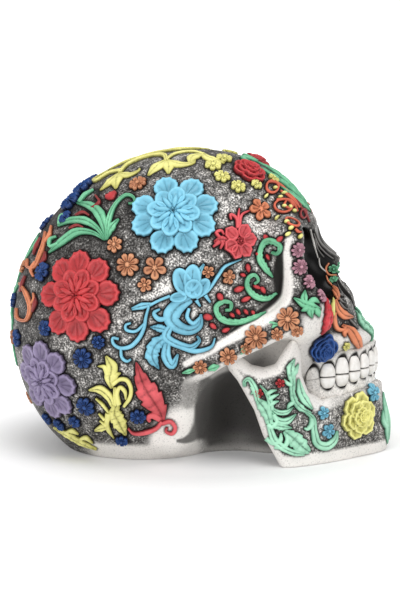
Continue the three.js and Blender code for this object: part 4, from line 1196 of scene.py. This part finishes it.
def cranium_paint(p):
    """Rough speckled ground, and smooth places with a tone of their own, which in the hollows, the creases and
    the recess is painted shade.
    """
    q = folded(p)
    x, y, z = q.T
    pixels = seen(q * np.array([1, -1, 1]))
    rough, tone, black_gloss_and_shade = np.ones(len(q)), np.full(len(q), 0.9), np.zeros(len(q))

    def smooth(share, level, black_gloss_share=0.0):
        nonlocal rough, tone, black_gloss_and_shade
        rough = rough * (1 - share)
        tone = tone + (level - tone) * share
        black_gloss_and_shade = black_gloss_and_shade + (black_gloss_share - black_gloss_and_shade) * share

    off, _ = along_bar(q, CHEEK_ARCH)
    up = off[:, 2] * 0.9 - off[:, 0] * 0.43
    on_arch = 1 - ramp(bar(q, CHEEK_ARCH), 0.6, 1.6)
    below = ramp(-up, 3.6, 5.0) * ramp(x, 2, 8)
    # Painted shade in the hollow under the cheek arch: grey, darker deeper in and towards the back.
    hollow = below * (1 - ramp(x, 44, 50)) * ramp(z, 22, 26)
    smooth(hollow, (0.8 + 0.2 * ramp(y, 24, 36)) * (0.66 + 0.34 * ramp(pixels[:, 0], 244, 272)))
    # Painted shade in the recess behind the jaw and low under the skull, lighter near the floor.
    smooth(1 - ramp(np.abs(ellipsoid(q, BEHIND_JAW)), 1.0, 2.4), 0.28 + 0.3 * (1 - ramp(z, 0.5, 4)))
    smooth((1 - ramp(z, 5, 8)) * ramp(x, 2, 6) * (1 - ramp(x, 40, 44)), 0.3 + 0.45 * (1 - ramp(z, 1, 5)))
    smooth((1 - ramp(ellipsoid(q, MASTOID), 2.6, 5.0)) * (1 - ramp(x, 1.2, 2.6)), 1.0)
    smooth((1 - ramp(z, 6, 9)) * ramp(x, -46, -36) * (1 - ramp(x, 0, 6)), 0.94)
    # Painted shade above and beside the knob, and a painted pool of light low in the recess.
    smooth(beside(pixels, KNOB_TOP_SHADE, KNOB_TOP_SHADE_WIDTHS) * 0.8, 0.55)
    smooth(beside(pixels, KNOB_SHADE, KNOB_SHADE_WIDTHS) * 0.85, 0.32)
    smooth(0.5 * np.exp(-(((pixels - RECESS_LIGHT) / RECESS_LIGHT_REACH) ** 2).sum(-1)), 0.65)
    smooth(on_arch * ramp(-up, 2.9, 3.8), 0.95)
    smooth((1 - ramp(ellipsoid(q, CHEEKBONE), 1.0, 2.5)) * 0.85, 1.0)
    smooth((1 - ramp(ellipsoid(q, GUM), 0.8, 2.0)) * ramp(x, 44, 52) * (1 - ramp(z, 48, 52)) * 0.85, 0.98)
    outer = ramp(y, 27, 31)
    # Painted shade in the crease behind the eye rim.
    smooth(beside(pixels, TEMPLE_CREASE_SHADE, CREASE_SHADE_WIDTHS) * outer, 0.1)
    smooth(beside(pixels, RIM_STRIP, RIM_WIDTHS) * outer, 0.98)
    ridge = (1 - ramp(bar(q, NOSE_TIP), 0.8, 2.0)) + (1 - ramp(bar(q, NOSE_BONE), 0.8, 2.0))
    smooth(np.clip(ridge, 0, 1) * 0.8, 0.3, 0.6)
    # The eye socket is black paint with painted shade deep inside, and glossy; the nose hole is painted shade.
    smooth(1 - ramp(bar(q, EYE_SOCKET), 0.3, 0.8), 0.04, 1.0)
    smooth(1 - ramp(ellipsoid(q, NOSE_HOLE), 0.3, 0.8), 0.05)
    brush = np.full(len(q), EVEN_BRUSH)
    for place, reach, amount in BRUSHED:
        brush += amount * np.exp(-(((pixels - place) / reach) ** 2).sum(-1))
    return {"rough": rough, "tone": tone, "black_gloss_and_shade": black_gloss_and_shade, "brush": brush, "wash": outline_wash(p, rough)}


def jaw_paint(p):
    """Speckled sides within a plain white rim and foot."""
    q = folded(p)
    x, _, z = q.T
    edge = -jaw_side(q)
    margin = 1 - ramp(edge, 3.0, 4.2)
    bottom = 1 - ramp(z, 4.2, 5.4)
    top = margin * (1 - 0.5 * ramp(x, 52, 56))
    under = 1 - ramp(outward(p) @ [0, 0, 1], -0.9, -0.8)
    rough = 1 - np.maximum(np.maximum(top, bottom), under)
    plain = {"tone": np.full(len(p), 0.97), "black_gloss_and_shade": 0 * x, "brush": 0 * x}
    return {"rough": rough, "wash": outline_wash(p, 0.4 * rough), **plain}


# A higher level leaves more white on the speckled ground.
GROUND = antiqued("antiqued_ground", level=-2.9)
PALE = antiqued("pale_bone", level=-1.45)
piece("cranium_casting", cranium_points, cranium_faces.tolist(), GROUND, "antiqued_ground",
      "cranium", **cranium_paint(cranium_points))
piece("jaw_casting", jaw_points, jaw_faces.tolist(), PALE, "pale_bone",
      "lower_jaw", **jaw_paint(jaw_points))


# Teeth. The gums run past the last teeth by this share of the arch, and past the roots by these heights.
GUM_SWEEP = 1.15
UPPER_GUM, LOWER_GUM = 2, 4
GUM_DEPTH = 7.0
CROWN_DEPTH = 2.9


def enamel():
    """White paint, darkened between the teeth, along the bite and on their inner faces: wash and painted shade.
    """
    f = Finish("enamel")
    wash, grain = f.layer("wash"), f.noise(420, 3)
    body = f.mix(f.held((grain - 0.35) * 2.4), linear((232, 228, 222)), linear((255, 253, 250)))
    return f.finish(f.mix(f.held(wash), body, WASH_AND_SHADE), 0.3 + 0.3 * wash, grain, 0.1)


def tooth_row(lift, heights, deep):
    """Crowns along the arch, above or below the bite: flat at the bite and round at the root."""
    points, faces, wash, count = [], [], [], 0
    rows, columns = 21, 28
    climb = (1 - np.cos(np.linspace(0, np.pi, rows))) / 2
    up, u = np.meshgrid(climb, np.linspace(0, 2 * np.pi, columns, endpoint=False), indexing="ij")
    lip = np.minimum(up / 0.05, 1) ** 0.5
    square = 0.7
    side = lip * np.sqrt(1 - up**2.3) * np.sign(np.cos(u)) * np.abs(np.cos(u)) ** square
    front = lip * np.sqrt(1 - up**4) * np.sign(np.sin(u)) * np.abs(np.sin(u)) ** square
    # Painted shade at the sides of each crown, along the bite and on its inner face.
    shade = ramp(np.abs(np.cos(u)) ** square, 0.9, 0.99) + 0.8 * (1 - ramp(up, 0, 0.02)) + ramp(-front, 0, 0.4)
    for k in range(TEETH):
        turn = ARCH_SWEEP * ((k + 0.5) / TEETH * 2 - 1)
        forward = ARCH_BEND + (ARCH_REACH - deep) * math.cos(turn)
        middle = np.array([forward, (ARCH_HALF_WIDTH - deep) * math.sin(turn)])
        along = np.array([-ARCH_REACH * math.sin(turn), ARCH_HALF_WIDTH * math.cos(turn)])
        wide = np.linalg.norm(along) * ARCH_SWEEP / TEETH
        along /= np.linalg.norm(along)
        out = np.array([along[1], -along[0]])
        bite = BITE_FRONT - BITE_SLOPE * (ARCH_BEND + ARCH_REACH - forward)
        tall = heights[min(k, TEETH - 1 - k)]
        flat = middle + (side * wide * 1.03)[..., None] * along + (front * deep)[..., None] * out
        z = bite + lift * (0.1 + tall * up)
        points.append(np.concatenate([flat, z[..., None]], -1).reshape(-1, 3))
        wash.append(np.clip(shade, 0, 1).ravel())
        i, j = np.meshgrid(np.arange(rows - 1), np.arange(columns), indexing="ij")
        a, b = (i * columns + j).ravel(), (i * columns + (j + 1) % columns).ravel()
        quads = np.stack([a, b, b + columns, a + columns], -1) + count
        faces += (quads if lift < 0 else quads[:, ::-1]).tolist()
        count += rows * columns
    return np.vstack(points), faces, {"wash": np.concatenate(wash)}


def gum_row(lift, heights):
    """The gum behind the crowns, swollen over each root, with wash and painted shade gathered round the crowns.
    """
    turn = np.linspace(-GUM_SWEEP, GUM_SWEEP, TEETH * 20 + 1) * ARCH_SWEEP
    place = ((turn / ARCH_SWEEP + 1) * TEETH / 2)[:, None]
    crowns = np.array([heights[min(k, TEETH - 1 - k)] for k in range(TEETH)])
    tall = crowns[np.clip(np.floor(place), 0, TEETH - 1).astype(int)]
    top = np.interp(place, np.arange(TEETH) + 0.5, crowns) + (UPPER_GUM if lift > 0 else LOWER_GUM)
    rise = np.linspace(0.01, 1, 18)[None] * top
    across = 2 * (place % 1) - 1
    round_crown = (np.hypot(across, rise / tall) - 1) * 2.4
    missing = (place < 0) | (place > TEETH)
    # A dark line round each crown, and a grey one past the last lower teeth: wash and painted shade.
    line = 1 - ramp(np.where(missing, np.abs(round_crown), np.maximum(round_crown, 0)), 0.15, 0.7)
    line = np.where(missing & (lift < 0), 0.2, line)
    root = np.where(missing, 1 - ramp(round_crown, -0.3, 0.3), ramp(rise / tall, 0.7, 1.1))
    swell = np.exp(-((across / 0.6) ** 2)) * root
    inset = 1.9 - 0.9 * swell + 0.9 * ramp(rise, top - 1, top)
    deep = np.full(place.shape, GUM_DEPTH)
    inset = np.hstack([deep, inset, deep])
    rise = np.hstack([rise[:, :1], rise, rise[:, -1:]])
    x = ARCH_BEND + (ARCH_REACH - inset) * np.cos(turn)[:, None]
    y = (ARCH_HALF_WIDTH - inset) * np.sin(turn)[:, None]
    z = BITE_FRONT - BITE_SLOPE * (ARCH_BEND + ARCH_REACH - x) + lift * rise
    wash = np.hstack([line[:, :1], line, line[:, -1:]]).ravel()
    faces = band_faces(*x.shape)
    points = np.stack([x, y, z], -1).reshape(-1, 3)
    plain = {"rough": 0.25, "tone": 1.0, "black_gloss_and_shade": 0.0, "brush": 0.5}
    paint = {"wash": wash, **{key: np.full(x.size, value) for key, value in plain.items()}}
    return points, [face[::-1] for face in faces] if lift < 0 else faces, paint


# Heights of the crowns, from the back of the mouth to the front.
UPPER_CROWNS = (5.6, 7.0, 6.4, 6.1, 6.2, 6.6)
LOWER_CROWNS = (4.8, 5.2, 4.7, 4.3, 4.2, 4.2)
ENAMEL = enamel()
for name, lift, crowns, gum, slot in (
    ("upper_teeth", 1, UPPER_CROWNS, GROUND, "antiqued_ground"),
    ("lower_teeth", -1, LOWER_CROWNS, PALE, "pale_bone"),
):
    points, faces, paint = tooth_row(lift, crowns, CROWN_DEPTH)
    piece(name + "_row", points, faces, ENAMEL, "enamel", name, **paint)
    points, faces, paint = gum_row(lift, crowns)
    piece(name + "_gum", points, faces, gum, slot, **paint)


# Floor, light and camera. The floor glows white, but less so under the head, which paints a soft shadow there.
FLOOR_HALF = 30.0
SHADOW_REACH, SHADOW_FADE = 0.055, 8
SHADOW_GLOW = (0.13, 0.13, 0.13, 1)
WORLD_LIGHT = 0.44


def floor():
    """A pale floor that a viewer and reflections see as white."""
    size = FLOOR_HALF
    mesh = bpy.data.meshes.new("floor")
    corners = [(-size, -size, 0), (size, -size, 0), (size, size, 0), (-size, size, 0)]
    mesh.from_pydata(corners, [], [(0, 1, 2, 3)])
    f = Finish("floor")
    kinds = ("Is Camera Ray", "Is Glossy Ray", "Is Transmission Ray")
    path = [f.node("ShaderNodeLightPath", {}, {}, key) for key in kinds]
    shown = f.held(path[0] + path[1] + path[2])
    f.feed(f.shader.inputs["Base Color"], (0.8, 0.8, 0.8, 1))
    f.shader.inputs["Roughness"].default_value = 1.0
    f.shader.inputs["Specular IOR Level"].default_value = 0.0
    place = f.node("ShaderNodeTexCoord", {}, {}, "Object")
    away = f.node("ShaderNodeVectorMath", {"operation": "LENGTH"}, {0: place}, "Value")
    # Painted shadow: the glow falls to SHADOW_GLOW within SHADOW_REACH of the head.
    glow = f.mix(f.held((away - SHADOW_REACH) * SHADOW_FADE), SHADOW_GLOW, (1, 1, 1, 1))
    f.feed(f.shader.inputs["Emission Color"], f.mix(shown, (0, 0, 0, 1), glow))
    f.shader.inputs["Emission Strength"].default_value = 1.0
    mesh.materials.append(f.material)
    made = bpy.data.objects.new("floor", mesh)
    bpy.context.scene.collection.objects.link(made)


def aim(thing):
    """Turn a lamp or the camera to the head."""
    thing.rotation_euler = (Vector(TARGET * MM) - thing.location).to_track_quat("-Z", "Y").to_euler()
    bpy.context.scene.collection.objects.link(thing)


def lamp(name, place, size, power):
    light = bpy.data.lights.new(name, "AREA")
    light.shape = "DISK"
    light.size, light.energy = size, power
    made = bpy.data.objects.new(name, light)
    made.location = place
    aim(made)


floor()
lamp("softbox", place=(0.1, -0.35, 1.1), size=0.7, power=5.9)
lamp("fill", place=(-0.7, -1.0, 0.3), size=0.8, power=4.6)
lamp("front", place=(0.9, -0.8, 0.3), size=0.7, power=3.4)
world = bpy.data.worlds.new("studio")
world.use_nodes = True
background = world.node_tree.nodes["Background"]
background.inputs["Color"].default_value = (1, 1, 1, 1)
background.inputs["Strength"].default_value = WORLD_LIGHT
bpy.context.scene.world = world

lens = bpy.data.cameras.new("camera")
lens.lens, lens.sensor_width = LENS, SENSOR
camera = bpy.data.objects.new("camera", lens)
camera.location = Vector(EYE * MM)
aim(camera)
bpy.context.scene.camera = camera
bpy.context.scene.view_settings.view_transform = "Standard"
